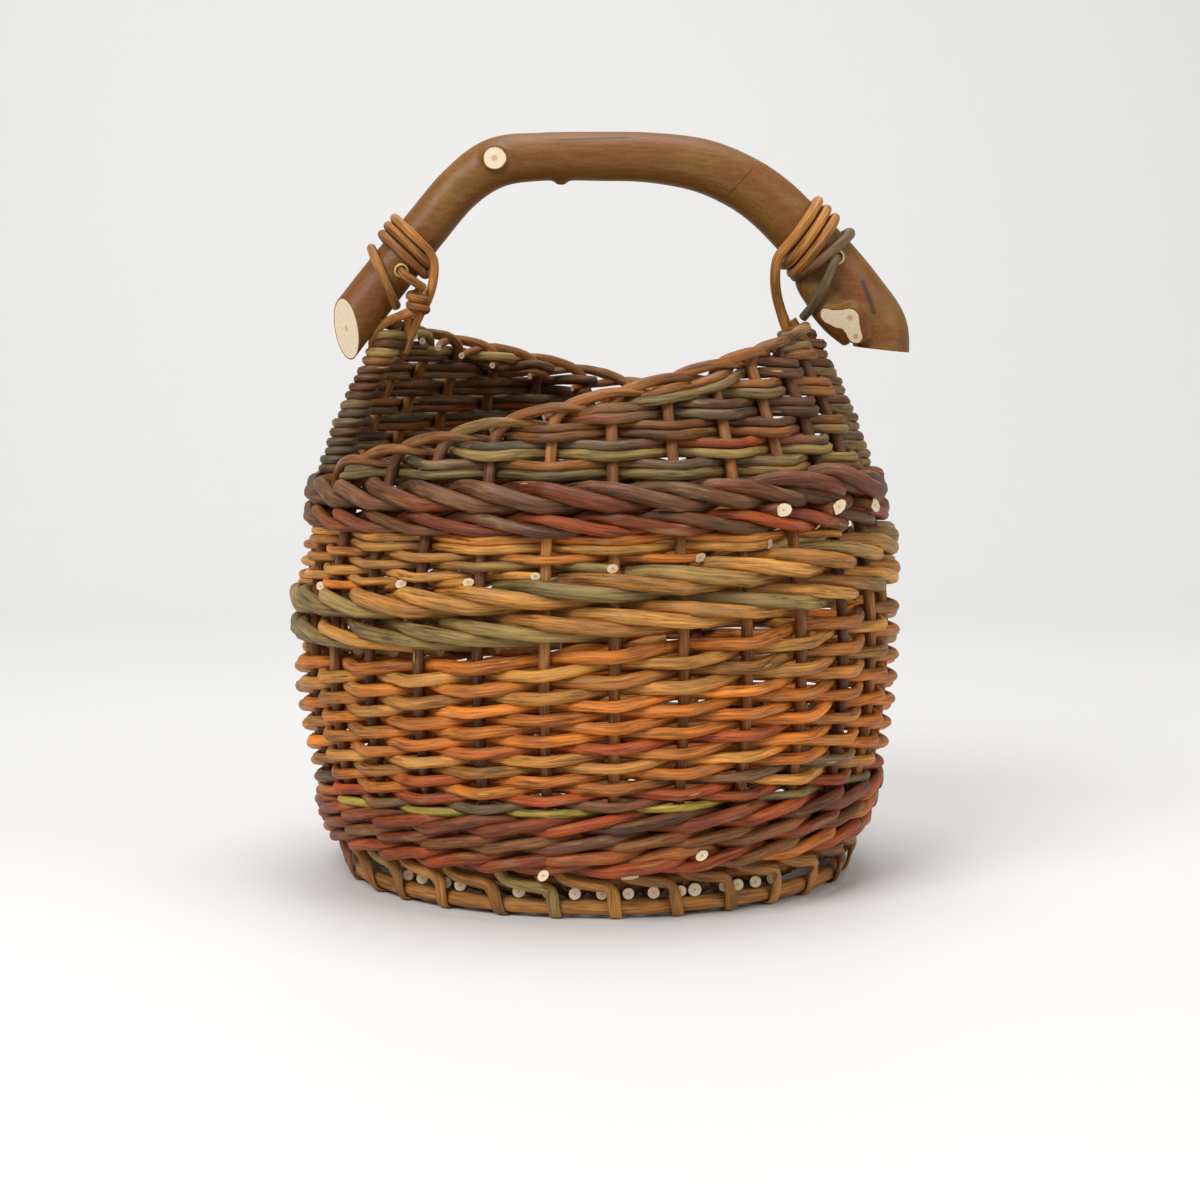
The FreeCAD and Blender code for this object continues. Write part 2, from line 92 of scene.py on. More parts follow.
# The handle's middle line: place along it and over the hinge line, and thickness as a share
HINGE_HEIGHT = 0.290
HANDLE_HALF, HANDLE_RISE = 0.150, 0.0806
BRANCH = (
    (-0.937, -0.2665, 1.04), (-0.863, -0.092, 1.02), (-0.7275, 0.2275, 1.01), (-0.590, 0.543, 0.96),
    (-0.470, 0.802, 0.97), (-0.345, 0.960, 1.04), (-0.19, 0.997, 1.0), (0.01, 1.0, 1.02),
    (0.18, 0.993, 1.04), (0.3555, 0.945, 1.11), (0.497, 0.838, 1.15), (0.605, 0.70, 1.18),
    (0.711, 0.507, 1.2), (0.815, 0.312, 1.2), (0.912, 0.09, 1.22), (0.98, -0.09, 1.2), (0.99, -0.28, 1.18),
)
BRANCH_SPACING = 0.003
# Along and over: the sawn left end, the knot and the nub; and how far to the front the knot is cut
SAWN_END, KNOT, NUB = (-0.863, -0.092), (-0.354, 0.985), (-0.123, 0.87)
KNOT_FRONT = -0.0142
# The two legs that carry the lashings: upper and lower place, and thickness as a share
LEGS = {-1: ((-0.592, 0.547), SAWN_END, 1.01), 1: ((0.605, 0.70), (0.815, 0.312), 1.2)}
# The heel that fills out the right leg's lower end
HEEL = (
    (0.1090, 0, 0.3140), (0.1110, 0, 0.3070), (0.1165, -0.001, 0.3005), (0.1260, -0.003, 0.2890),
    (0.1355, -0.003, 0.2815),
)
# The fork's sawn stub: the way its cut faces, and its lobes as place on the cut and radius
STUB_FACING = (-0.42, -0.85, -0.32)
STUB = (
    ((0.1294, -0.0172, 0.2882), 0.0052), ((0.1327, -0.0152, 0.2786), 0.0041),
    ((0.1184, -0.0122, 0.2893), 0.0036), ((0.1240, -0.0146, 0.2885), 0.0042),
    ((0.1312, -0.0162, 0.2832), 0.0042),
)
# Radii along the heel and, for the stub, the knot and the nub, the run from root to end and the radii there:
# the stub's as shares of a lobe's radius, the knot's run to the front, the nub's run down
HEEL_RADII = ((0, 0.0070), (0.45, 0.0112), (1, 0.0112))
STUB_RUN, STUB_SHARES = (-0.014, 0.005), (1.5, 0.96)
KNOT_RUN, KNOT_RADII = (0.0, -0.0165), (0.0095, 0.0058)
NUB_RUN, NUB_RADII = (0.004, -0.0042), (0.0085, 0.0022)
# Dark cracks in the bark: both ends along the handle and up, and half the width
CRACKS = (
    ((0.1362, 0.3064), (0.1422, 0.2907), 0.0011), ((-0.019, 0.3785), (0.016, 0.3800), 0.00035),
    ((0.066, 0.3500), (0.079, 0.3640), 0.0003),
)


def srgb(red, green, blue):
    """A colour given as screen values from 0 to 255, as Blender's linear colour."""
    return tuple(((c / 255 + 0.055) / 1.055) ** 2.4 if c > 10 else c / 3294.6 for c in (red, green, blue))


# Colours of small marks
WEATHERED, DARK_BARK = srgb(164, 130, 86), srgb(52, 30, 18)
SCAR, SCAR_EDGE = srgb(216, 172, 90), srgb(60, 36, 20)
CRACK, HOLE_EDGE = srgb(58, 38, 26), srgb(206, 178, 104)


def length_prop(name, description, default):
    return FloatProperty(name=name, description=description, default=default, unit="LENGTH", min=0.0005)


def colour_prop(name, description, default):
    return FloatVectorProperty(
        name=name, description=description, default=default, subtype="COLOR", size=3, min=0.0, max=1.0
    )


class BASKET_PG_rods(bpy.types.PropertyGroup):
    """Thicknesses of the willow rods."""

    stake: length_prop("Stake", "Thickness of the upright stakes", 0.0056)
    upset: length_prop("Upset wale", "Thickness of the rods that set the stakes upright", 0.0060)
    rand_low: length_prop("Lower side", "Thickness of the side's rods low down", 0.0052)
    rand_high: length_prop("Upper side", "Thickness of the side's rods higher up", 0.0064)
    butt: length_prop("Butts", "Thickness of the butt ends along the side's upper edge", 0.0076)
    thin: length_prop("Thin rand", "Thickness of the thin rods over the side", 0.0045)
    wale: length_prop("Middle wale", "Thickness of the middle wale's upper rods", 0.0078)
    wale_low: length_prop("Lower middle wale", "Thickness of the middle wale's lower rods", 0.0060)
    wing: length_prop("Wing", "Thickness of the wings' paired rods", 0.0050)
    border: length_prop("Border", "Thickness of the stakes' ends in the border", 0.0056)
    hoop: length_prop("Hoop", "Thickness of the base hoop", 0.0076)
    stick: length_prop("Stick", "Thickness of the base sticks", 0.0058)
    floor: length_prop("Floor", "Thickness of the floor's rods", 0.0040)
    lash_left: length_prop("Left lashing", "Thickness of the left lashing's rods", 0.0048)
    lash_right: length_prop("Right lashing", "Thickness of the right lashing's rods", 0.0054)
    branch: length_prop("Branch", "Radius of the handle's branch", 0.0124)


class BASKET_PG_colours(bpy.types.PropertyGroup):
    """Bark and wood colours."""

    orange: colour_prop("Orange", "Bark of the side's middle rods", srgb(192, 110, 36))
    golden: colour_prop("Golden", "Tan bark", srgb(188, 130, 58))
    red: colour_prop("Red", "Red bark of the lower side", srgb(150, 66, 24))
    maroon: colour_prop("Maroon", "Dark red bark of the wales", srgb(120, 56, 25))
    plum: colour_prop("Plum", "Purple brown bark", srgb(104, 64, 40))
    slate: colour_prop("Slate", "Dark grey bark", srgb(98, 82, 58))
    olive: colour_prop("Olive", "Olive bark of the butts", srgb(144, 118, 64))
    moss: colour_prop("Moss", "Green grey bark", srgb(116, 98, 56))
    lime: colour_prop("Lime", "Yellow green bark", srgb(158, 138, 56))
    withy: colour_prop("Withy", "Light brown bark of the lashings", srgb(160, 106, 46))
    brown: colour_prop("Brown", "Plain brown bark", srgb(134, 82, 34))
    umber: colour_prop("Umber", "Dark brown bark", srgb(92, 58, 28))
    cut: colour_prop("Cut wood", "Freshly cut rod ends and sawn faces", srgb(242, 224, 192))
    pith: colour_prop("Pith", "Middle of a cut end", srgb(200, 152, 104))
    branch: colour_prop("Branch", "Bark of the handle", srgb(116, 73, 25))
    branch_warm: colour_prop("Branch, warm", "Red brown patches on the handle", srgb(124, 74, 27))
    branch_green: colour_prop("Branch, green", "Olive patches on the handle", srgb(124, 88, 32))
    ground: colour_prop("Floor", "The floor and backdrop", (0.72, 0.715, 0.705))


def rods():
    """The rods' thicknesses."""
    return bpy.context.scene.basket_rods


def colour(name):
    """One of the barks or woods, by name."""
    return np.array(getattr(bpy.context.scene.basket_colours, name))


# Shapes of the wall


def circle_through(p, q, r):
    """Centre and radius of the circle through three (radius, height) points."""
    (ax, ay), (bx, by), (cx, cy) = p, q, r
    d = 2 * (ax * (by - cy) + bx * (cy - ay) + cx * (ay - by))
    a2, b2, c2 = ax * ax + ay * ay, bx * bx + by * by, cx * cx + cy * cy
    ux = (a2 * (by - cy) + b2 * (cy - ay) + c2 * (ay - by)) / d
    uy = (a2 * (cx - bx) + b2 * (ax - cx) + c2 * (bx - ax)) / d
    return ux, uy, math.hypot(ax - ux, ay - uy)


ARC_X, ARC_Z, ARC_RADIUS = circle_through(FOOT, BELLY, PEAK)


def wall(s, z, out):
    """Points of the wall at stake number s and height z, moved out level until they clear its middle line."""
    s, z, out = np.broadcast_arrays(np.asarray(s, float), z, out)
    along = np.sqrt(np.maximum(ARC_RADIUS**2 - (z - ARC_Z) ** 2, 0))
    radius = ARC_X + along + out * ARC_RADIUS / along
    return np.stack([radius * np.cos(s * STEP), radius * np.sin(s * STEP), z], -1)


def outward(s):
    """The level direction out of the wall at stake number s."""
    return np.array([math.cos(s * STEP), math.sin(s * STEP), 0.0])


def level(edge, s):
    """Height of a band's tilted edge at stake number s."""
    return edge[0] + edge[1] * np.cos(s * STEP) - edge[2] * np.sin(s * STEP)


def ramp(share):
    """Height of a wing's border, at a share of the half turn from its low end to its peak."""
    share = np.clip(share, 0, 1)
    return RIM_LOW + (RIM_HIGH - RIM_LOW) * np.sin(math.pi / 2 * share**RIM_POWER)


# Rods and their meshes

# Samples of a rod from one stake to the next, and sides of the different rods
SAMPLES = 8
THIN_SIDES, ROD_SIDES, THICK_SIDES, HOOP_SIDES, BRANCH_SIDES = 8, 10, 12, 14, 32


class Rod:
    """One willow rod: its middle line, radius, colours along it, and the face that its far end is cut to."""

    def __init__(self, line, radius, tint, seed, end_face=None, flat=None, facing=None):
        self.line = np.asarray(line, float)
        self.radius = np.broadcast_to(np.asarray(radius, float), len(self.line)).copy()
        self.tint = np.broadcast_to(np.asarray(tint, float), (len(self.line), 3)).copy()
        self.seed = seed
        self.end_face = end_face
        self.flat = flat
        self.facing = facing


def stations(start, end):
    """Stake numbers from start to end, evenly sampled."""
    return np.linspace(start, end, max(3, int(math.ceil(abs(end - start) * SAMPLES)) + 1))


def wander(rng, count, knots, spread):
    """A smooth random line of so many values, through random knots."""
    at = np.linspace(0, 1, knots)
    return smooth_through(at, rng.normal(0, spread, knots), np.linspace(0, 1, count))


def smooth_through(at, values, x):
    """Cubic interpolation through values, with level tangents where they turn."""
    values = np.asarray(values, float)
    k = np.clip(np.searchsorted(at, x) - 1, 0, len(at) - 2)
    t = (x - np.asarray(at)[k]) / (np.asarray(at)[k + 1] - np.asarray(at)[k])
    t = t * t * (3 - 2 * t)
    if values.ndim > 1:
        t = t[:, None]
    return values[k] * (1 - t) + values[k + 1] * t


# Odds that a rod keeps its first bark at a stop, and spread of its shade: of the whole rod and along it
ONE_BARK, ROD_SHADE, RUN_SHADE, SHADE_RANGE = 0.45, 0.09, 0.08, (0.7, 1.25)


def bark(rng, mix, count, spell=34):
    """Colours along a rod: barks of the mix run into each other, a shade lighter or darker than usual."""
    names = list(mix)
    weights = np.array([mix[n] for n in names], float)
    stops = max(2, count // spell + 1)
    picks = rng.choice(len(names), stops, p=weights / weights.sum())
    picks = np.where(rng.random(stops) < ONE_BARK, picks[0], picks)
    colours = np.array([colour(names[k]) for k in picks])
    tint = smooth_through(np.linspace(0, 1, stops), colours, np.linspace(0, 1, count))
    shade = 1 + rng.normal(0, ROD_SHADE) + wander(rng, count, max(3, count // 9), RUN_SHADE)
    return tint * np.clip(shade, *SHADE_RANGE)[:, None]


def spline(points, spacing):
    """A smooth line through points, evenly sampled; it is a Catmull-Rom curve."""
    p = np.asarray(points, float)
    p = np.vstack([2 * p[0] - p[1], p, 2 * p[-1] - p[-2]])
    line = []
    for a, b, c, d in zip(p, p[1:], p[2:], p[3:]):
        count = max(2, int(np.linalg.norm(c[:3] - b[:3]) / spacing))
        t = np.linspace(0, 1, count, endpoint=False)[:, None]
        curve = 2 * b + (c - a) * t + (2 * a - 5 * b + 4 * c - d) * t**2 + (3 * b - a - 3 * c + d) * t**3
        line.append(0.5 * curve)
    line.append(p[-2][None])
    return np.vstack(line)


def frames_of(line, facing=None):
    """Tangents, and two directions across, along a line."""
    tangent = np.gradient(line, axis=0)
    tangent /= np.maximum(np.linalg.norm(tangent, axis=1), 1e-9)[:, None]
    if facing is None:
        across = np.empty_like(line)
        start = np.cross(tangent[0], (0.0, 0.0, 1.0))
        if np.linalg.norm(start) < 0.2:
            start = np.cross(tangent[0], (1.0, 0.0, 0.0))
        for k, t in enumerate(tangent):
            start = start - t * start.dot(t)
            start /= np.linalg.norm(start)
            across[k] = start
    else:
        across = facing - tangent * np.einsum("ij,ij->i", facing, tangent)[:, None]
        across /= np.maximum(np.linalg.norm(across, axis=1), 1e-9)[:, None]
    return tangent, across, np.cross(tangent, across)


# A slanted cut leans no further than this, and reaches no further along than so many radii
LEAST_LEAN, MOST_SLANT = 0.35, 2.4


def ring_points(rod, angles):
    """The skin of a rod as rings of points, with its far end cut to its face."""
    tangent, across, beside = frames_of(rod.line, rod.facing)
    thin = np.ones(len(rod.line)) if rod.flat is None else rod.flat
    ring = (
        across[:, None] * (np.cos(angles)[None, :, None] * thin[:, None, None])
        + beside[:, None] * np.sin(angles)[None, :, None]
    ) * rod.radius[:, None, None]
    if rod.end_face is not None:
        face = np.asarray(rod.end_face, float)
        lean = max(face.dot(tangent[-1]), LEAST_LEAN * np.linalg.norm(face))
        most = MOST_SLANT * rod.radius[-1]
        ring[-1] += tangent[-1] * np.clip(-(ring[-1] @ face) / lean, -most, most)[:, None]
    return rod.line[:, None] + ring


# The map: a strip along U for each rod, and two spots at its end for the rod's cut faces
MAP_NAME = "OFBake"
STRIP_SHARE, STRIP_EDGE = 0.95, 0.05
SPOT_WIDTH, SPOT_HEIGHT, SPOT_COLUMNS = 0.011, 0.42, (0.963, 0.987)
# Buds: least and most way from one to the next, room before the first, length and swelling
BUD_GAPS, BUD_OFFSET, BUD_LENGTH, BUD_SWELL = (0.026, 0.062), 0.03, 0.0034, 0.09
THICKEST_BUDDED = 0.006


def swelling(seed, along):
    """How much thicker a rod is at its buds, which sit a few centimetres apart."""
    rng = np.random.default_rng(int(seed * 1e6))
    count = int(along[-1] / BUD_GAPS[0]) + 2
    buds = np.cumsum(rng.uniform(*BUD_GAPS, count)) - BUD_OFFSET
    return 1 + BUD_SWELL * np.exp(-(((along[:, None] - buds) / BUD_LENGTH) ** 2)).sum(1)


def cells(rows, sides):
    """Row and side of every cell of a rod's skin."""
    return (grid.ravel() for grid in np.meshgrid(np.arange(rows), np.arange(sides), indexing="ij"))


def rod_faces(n, sides):
    """Corners of a rod's faces, quads along it and a fan at each end, and how many each face has."""
    i, j = cells(n - 1, sides)
    k = (j + 1) % sides
    quads = np.stack([i * sides + j, i * sides + k, (i + 1) * sides + k, (i + 1) * sides + j], -1)
    a = np.arange(sides)
    b = (a + 1) % sides
    hub, last = n * sides, (n - 1) * sides
    fans = (np.full(sides, hub), b, a), (np.full(sides, hub + 1), last + a, last + b)
    corners = np.concatenate([quads.ravel(), *(np.stack(fan, -1).ravel() for fan in fans)])
    return corners, np.repeat([4, 3], [len(quads), 2 * sides])


def rod_map(along, longest, row, rows, angles):
    """A rod's strip of the map and the spots of its two cut ends, corner by corner."""
    sides = len(angles)
    i, j = cells(len(along) - 1, sides)
    u = along / longest * STRIP_SHARE
    v = (row + STRIP_EDGE + (1 - 2 * STRIP_EDGE) * np.arange(sides + 1) / sides) / rows
    strip = [np.stack([u[i + di], v[j + dj]], -1) for di, dj in ((0, 0), (0, 1), (1, 1), (1, 0))]
    made = [np.stack(strip, 1).reshape(-1, 2)]
    a = np.arange(sides)
    b = (a + 1) % sides
    size = np.array([SPOT_WIDTH, SPOT_HEIGHT / rows])
    for column, (first, second) in zip(SPOT_COLUMNS, ((b, a), (a, b))):
        centre = np.array([column, (row + 0.5) / rows])
        spot = centre + size * np.stack([np.cos(angles), np.sin(angles)], -1)
        fan = [np.broadcast_to(centre, (sides, 2)), spot[first], spot[second]]
        made.append(np.stack(fan, 1).reshape(-1, 2))
    return np.vstack(made)


def rod_object(name, made, sides):
    """One mesh object of many rods, with colours, a grain vector and a strip of the map for each rod."""
    angles = np.linspace(0, 2 * math.pi, sides, endpoint=False)
    lengths = [np.linalg.norm(np.diff(rod.line, axis=0), axis=1) for rod in made]
    longest = max(length.sum() for length in lengths)
    points, corners, totals, maps, tints, grains, rings = arrays = [[] for _ in range(7)]
    base = 0
    for row, rod in enumerate(made):
        along = np.concatenate([[0], np.cumsum(lengths[row])])
        if rod.flat is None and rod.radius.max() < THICKEST_BUDDED:
            rod.radius = rod.radius * swelling(rod.seed, along)
        skin = ring_points(rod, angles)
        points.append(np.vstack([skin.reshape(-1, 3), skin[0].mean(0), skin[-1].mean(0)]))
        shade = np.vstack([np.repeat(rod.tint, sides, axis=0), rod.tint[[0, -1]]])
        tints.append(np.column_stack([shade, np.full(len(shade), rod.seed)]))
        grain = np.column_stack([
            np.repeat(along, sides),
            np.outer(rod.radius, np.cos(angles)).ravel(),
            np.outer(rod.radius, np.sin(angles)).ravel(),
        ])
        grains.append(np.vstack([grain, (along[0], 0, 0), (along[-1], 0, 0)]))
        ring = np.zeros(len(shade), int)
        ring[:sides], ring[-2 - sides : -2] = 2 * row + 1, 2 * row + 2
        rings.append(ring)
        faces, counts = rod_faces(len(along), sides)
        corners.append(faces + base)
        totals.append(counts)
        maps.append(rod_map(along, longest, row, len(made), angles))
        base += len(shade)
    return mesh_object(name, *(np.concatenate(array) for array in arrays))


def mesh_object(name, points, corners, totals, uv, tints, grains, rings):
    """A mesh object from its arrays. Fans are cut wood, and the edges of a rod's end rings stay sharp."""
    mesh = bpy.data.meshes.new(name)
    mesh.vertices.add(len(points))
    mesh.vertices.foreach_set("co", points.astype(np.float32).ravel())
    mesh.loops.add(len(corners))
    mesh.loops.foreach_set("vertex_index", corners.astype(np.int32))
    mesh.polygons.add(len(totals))
    mesh.polygons.foreach_set("loop_start", (np.cumsum(totals) - totals).astype(np.int32))
    mesh.polygons.foreach_set("loop_total", totals.astype(np.int32))
    mesh.polygons.foreach_set("material_index", (totals == 3).astype(np.int32))
    mesh.update(calc_edges=True)
    mesh.polygons.foreach_set("use_smooth", np.ones(len(totals), bool))
    ends = np.empty(len(mesh.edges) * 2, np.int32)
    mesh.edges.foreach_get("vertices", ends)
    ends = rings[ends.reshape(-1, 2)]
    sharp = mesh.attributes.new("sharp_edge", "BOOLEAN", "EDGE")
    sharp.data.foreach_set("value", (ends[:, 0] == ends[:, 1]) & (ends[:, 0] > 0))
    shade = mesh.color_attributes.new("bark_colour", "FLOAT_COLOR", "POINT")
    shade.data.foreach_set("color", tints.astype(np.float32).ravel())
    grain = mesh.attributes.new("grain", "FLOAT_VECTOR", "POINT")
    grain.data.foreach_set("vector", grains.astype(np.float32).ravel())
    layer = mesh.uv_layers.new(name=MAP_NAME, do_init=False)
    layer.uv.foreach_set("vector", uv.astype(np.float32).ravel())
    mesh.validate()
    obj = bpy.data.objects.new(name, mesh)
    bpy.context.scene.collection.objects.link(obj)
    return obj


def place(obj, body, node, materials):
    """Gives a piece its materials and its body, and hides the CAD node that it stands for."""
    for name in materials:
        obj.data.materials.append(bpy.data.materials[name])
    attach(obj, body)
    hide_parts(node)


def weave(name, made, sides, node, skin):
    """Builds a piece of the basket from its rods, with bark round them and cut wood at their ends."""
    place(rod_object(name, made, sides), "basket", node, [skin, "cut_wood"])


# The weave: every rod of the wall, worked out together and settled against its neighbours

# Barks of each kind of rod, with their odds
MIXES = {
    "upset": {"maroon": 3, "red": 3, "plum": 2, "brown": 2, "orange": 0.8},
    "edge": {"lime": 2, "moss": 2, "plum": 1, "brown": 1},
    "rand_low": {"red": 2, "orange": 3, "plum": 0.8, "slate": 0.8, "golden": 1, "brown": 0.8},
    "rand_mid": {"orange": 5, "withy": 2, "golden": 1.4, "red": 0.4},
    "rand_high": {"orange": 4, "golden": 3, "withy": 1.2, "olive": 0.5},
    "butt": {"olive": 3, "golden": 4, "withy": 2, "moss": 0.6, "orange": 0.8},
    "thin": {"golden": 5, "withy": 2, "orange": 1.4, "olive": 1},
    "wale": {"maroon": 3, "red": 1.6, "plum": 2, "brown": 1.6, "umber": 1},
    "wing": {
        "brown": 3.4, "moss": 1.6, "umber": 2.2, "slate": 1, "olive": 0.6, "maroon": 0.8, "red": 0.5,
    },
    "border": {"brown": 4, "umber": 1, "olive": 0.6},
    "stake": {"withy": 1.5, "brown": 4, "plum": 1},
    "foot": {"brown": 2, "olive": 2, "withy": 2, "golden": 1},
    "hoop": {"withy": 2, "slate": 1, "olive": 2},
    "stick": {"brown": 2, "golden": 1},
    "floor": {"brown": 2, "umber": 1, "moss": 1, "golden": 1},
    "lash": {"withy": 4, "brown": 1},
    "lash_dark": {"slate": 2, "umber": 2},
}

# Seeds of the random draws: one for each band, from the upset to the back border, and for the other pieces
BAND_SEEDS, BASE_SEED, LASH_SEED, STAKE_SEED = range(1, 9), 30, 50, 100
# Spread of the rods' thickness as a share, and how far a rod of a row sways and is pressed down
RAND_SPREAD, WALE_SPREAD, WING_SPREAD, BUTT_SPREAD = 0.05, 0.06, 0.06, 0.05
RAND_SWAY, RAND_DIP, THIN_DIP, WING_DIP = 0.0006, 0.0006, 0.0003, 0.0006
# How far, in stakes, a hidden end is drawn in
TUCK_REACH = 0.45


def tuck(s, start, end, depth, hidden):
    """How far a rod is drawn inwards near its hidden ends."""
    pull = np.zeros_like(s)
    if hidden[0]:
        pull += np.exp(-(((s - start) / TUCK_REACH) ** 2))
    if hidden[1]:
        pull += np.exp(-(((end - s) / TUCK_REACH) ** 2))
    return -depth * pull


def pass_side(u):
    """Place of a rod across the wall: in front of one stake, behind the next, and straight between them."""
    return (np.cos(math.pi * u) + np.cos(3 * math.pi * u) / 9) * 0.9


def rand_row(rng, start, end, phase, height, radius, mix, dip=RAND_DIP, hidden=(True, True), end_face=None):
    """One rod that passes in front of one stake and behind the next, pressed down where it is in front."""
    s = stations(start, end)
    side = pass_side(s - phase)
    r = radius * (1 + wander(rng, len(s), max(3, len(s) // 16), RAND_SPREAD))
    press = -dip * np.maximum(side, 0) ** 1.6 + 0.5 * dip * np.maximum(-side, 0)
    out = side * (rods().stake / 2 + r) + tuck(s, start, end, 2 * r, hidden)
    z = height(s) + press + wander(rng, len(s), max(3, len(s) // 12), RAND_SWAY)
    return Rod(wall(s, z, out), r, bark(rng, mix, len(s)), rng.random(), end_face)


# Shortest and longest rod of the side's rows, in stakes
SHORTEST_ROD, LONGEST_ROD = 14, 20


def broken(rng, start, end):
    """Cuts a run of stakes into rods of random length, each break an even number of stakes on."""
    cuts, at = [start], start
    while end - at > LONGEST_ROD:
        at += 2 * int(rng.integers(SHORTEST_ROD // 2, LONGEST_ROD // 2 + 1))
        cuts.append(at)
    return list(zip(cuts, cuts[1:] + [end]))


def wale_side(u):
    """Place of a waling rod across the wall: in front of two stakes, behind one."""
    return np.clip((1 + 4 * np.cos(2 * math.pi * (u - 0.5) / 3)) / 3, -1, 1.15)


# Height of a waling rod as a share of its round: at the high end of its front stretch, and behind a stake
WALE_HIGH, WALE_BEHIND = 0.56, 0.28


def wale_lift(u, falling):
    """Height of a waling rod within its round: over its front stretch it falls, or rises, to the right."""
    first, second = (WALE_HIGH, 0.0) if falling else (0.0, WALE_HIGH)
    a, b = (2 * first - second - WALE_BEHIND) / 3, (second - WALE_BEHIND) / math.sqrt(3)
    turn = 2 * math.pi * u / 3
    return (first + second + WALE_BEHIND) / 3 + a * np.cos(turn) + b * np.sin(turn)


def between(low, high, share):
    """A level that lies a share of the way from one tilted edge to another."""
    return lambda s: level(low, s) * (1 - share) + level(high, s) * share


# How far, in stakes, a waling rod runs past both ends of its round
WALE_LAP = 1.3


def wale(rng, low, high, first, radius, mix, falling):
    """One round of three-rod waling between two levels. Its rods start one stake after the other."""
    made = []
    for j in range(3):
        u = stations(-WALE_LAP, STAKES + WALE_LAP)
        s = u + first + j
        r = radius * (1 + wander(rng, len(s), 12, WALE_SPREAD))
        z = low(s) + r * 0.9 + (high(s) - low(s) - 0.3 * r) * wale_lift(u, falling)
        out = wale_side(u) * (rods().stake / 2 + r) + tuck(u, u[0], u[-1], 2 * r, (True, True))
        made.append(Rod(wall(s, z, out), r, bark(rng, mix, len(s), 40), rng.random()))
    return made


# Cut ends that show on the front, as stake number and height; their radius and samples
UPSET_ENDS, UPSET_END_RADIUS = ((19.97, 0.0262), (21.18, 0.0272), (22.35, 0.0318)), 0.0024
WALE_ENDS, WALE_END_RADIUS = ((23.6, 0.1992), (24.75, 0.1996), (25.95, 0.1985)), 0.0032
END_SAMPLES = 10


def butt_ends(rng, places, radius, mix, slant, reach):
    """Cut ends of rods that come out through the wall; a place is a stake number and a height."""
    made = []
    for s, z in places:
        out = np.linspace(-1.0, reach, END_SAMPLES) * (rods().stake / 2 + radius)
        line = wall(np.linspace(s - slant, s, END_SAMPLES), z, out)
        made.append(Rod(line, radius, bark(rng, mix, END_SAMPLES), rng.random(), outward(s - 1.0)))
    return made


def upset_rods(rng):
    """Three rounds that rise to the right, with cut ends along their lower edge on the front."""
    made = []
    for k, first in enumerate((20, 6, 11)):
        low, high = (between(UPSET_LOW, UPSET_TOP, (k + edge) / 3) for edge in (0, 1))
        made += wale(rng, low, high, first, rods().upset / 2, MIXES["upset"], False)
    return made + butt_ends(rng, UPSET_ENDS, UPSET_END_RADIUS, MIXES["upset"], 0.4, 1.5)


RAND_ROWS, RAND_CROWDING = 16, 1.12
# A butt's two ends, in stakes from the one it starts at, and how far it starts over the side's edge
BUTT_START, BUTT_END, BUTT_RISE = -0.8, 5.2, 0.0024


def rand_mix(row, share):
    """The barks of one of the side's rows, at its share of the way up."""
    if row == 0:
        return MIXES["edge"]
    return MIXES["rand_low" if share < 0.3 else "rand_mid" if share < 0.75 else "rand_high"]


def side_rods(rng):
    """The side: rows of randing, red low down and orange above, then thick butts along its upper edge."""
    low_r, high_r = rods().rand_low / 2, rods().rand_high / 2
    made = []
    for k in range(RAND_ROWS):
        share = ((k + 0.5) / RAND_ROWS) ** RAND_CROWDING
        radius = low_r * 0.85 if k == 0 else low_r + (high_r - low_r) * share
        height = between(UPSET_TOP, BUTT_LOW, share)
        begin = k % 2 + 1 + 2 * int(rng.integers(0, HALF))
        for a, b in broken(rng, begin, begin + STAKES):
            made.append(rand_row(rng, a - 0.5, b + 0.5, k % 2, height, radius, rand_mix(k, share)))
    thicknesses = [rods().butt * 1.04, rods().butt * 0.9, rods().rand_high]
    for k in range(STAKES):
        s = stations(k + BUTT_START, k + BUTT_END)
        u = s - k
        r = np.interp(u, [BUTT_START, 2.5, BUTT_END], thicknesses) / 2 * (1 + rng.normal(0, BUTT_SPREAD))
        share = np.clip((u + 0.4) / 6, 0, 1)
        top, low = level(RAND_TOP, s) + BUTT_RISE, level(BUTT_LOW, s)
        z = top * (1 - share) + low * share - r * (1 - 2 * share) * 0.8
        pull = tuck(s, k + BUTT_START, k + BUTT_END, 1.5 * r, (False, True))
        out = wale_side(u) * (rods().stake / 2 + r) + pull
        made.append(Rod(wall(s, z, out), r, bark(rng, MIXES["butt"], len(s), 24), rng.random()))
    return made


# Where each thin row ends on the front, as a stake number
THIN_ENDS = (15.55, 17.6, 18.75, 19.75, 20.85, 22.15, 23.4, 24.9)


def thin_rods(rng):
    """Thin rows that level the side's sloped edge; each ends in a cut end that shows on the front."""
    r = rods().thin / 2
    made = []
    for j, end in enumerate(THIN_ENDS):
        drop = (len(THIN_ENDS) - 0.5 - j) * rods().thin * 1.02

        def height(s, drop=drop):
            return np.maximum(level(THIN_TOP, s) - drop, level(RAND_TOP, s) + r * 0.4)

        start = HALF - (end - HALF) * 1.06
        phase = int(round(end)) % 2
        face = 0.9 * outward(end) + 0.55 * outward(end + STAKES / 4)
        made.append(
            rand_row(rng, start, end + 0.12, phase, height, r, MIXES["thin"], THIN_DIP, (True, False), face)
        )
    return made


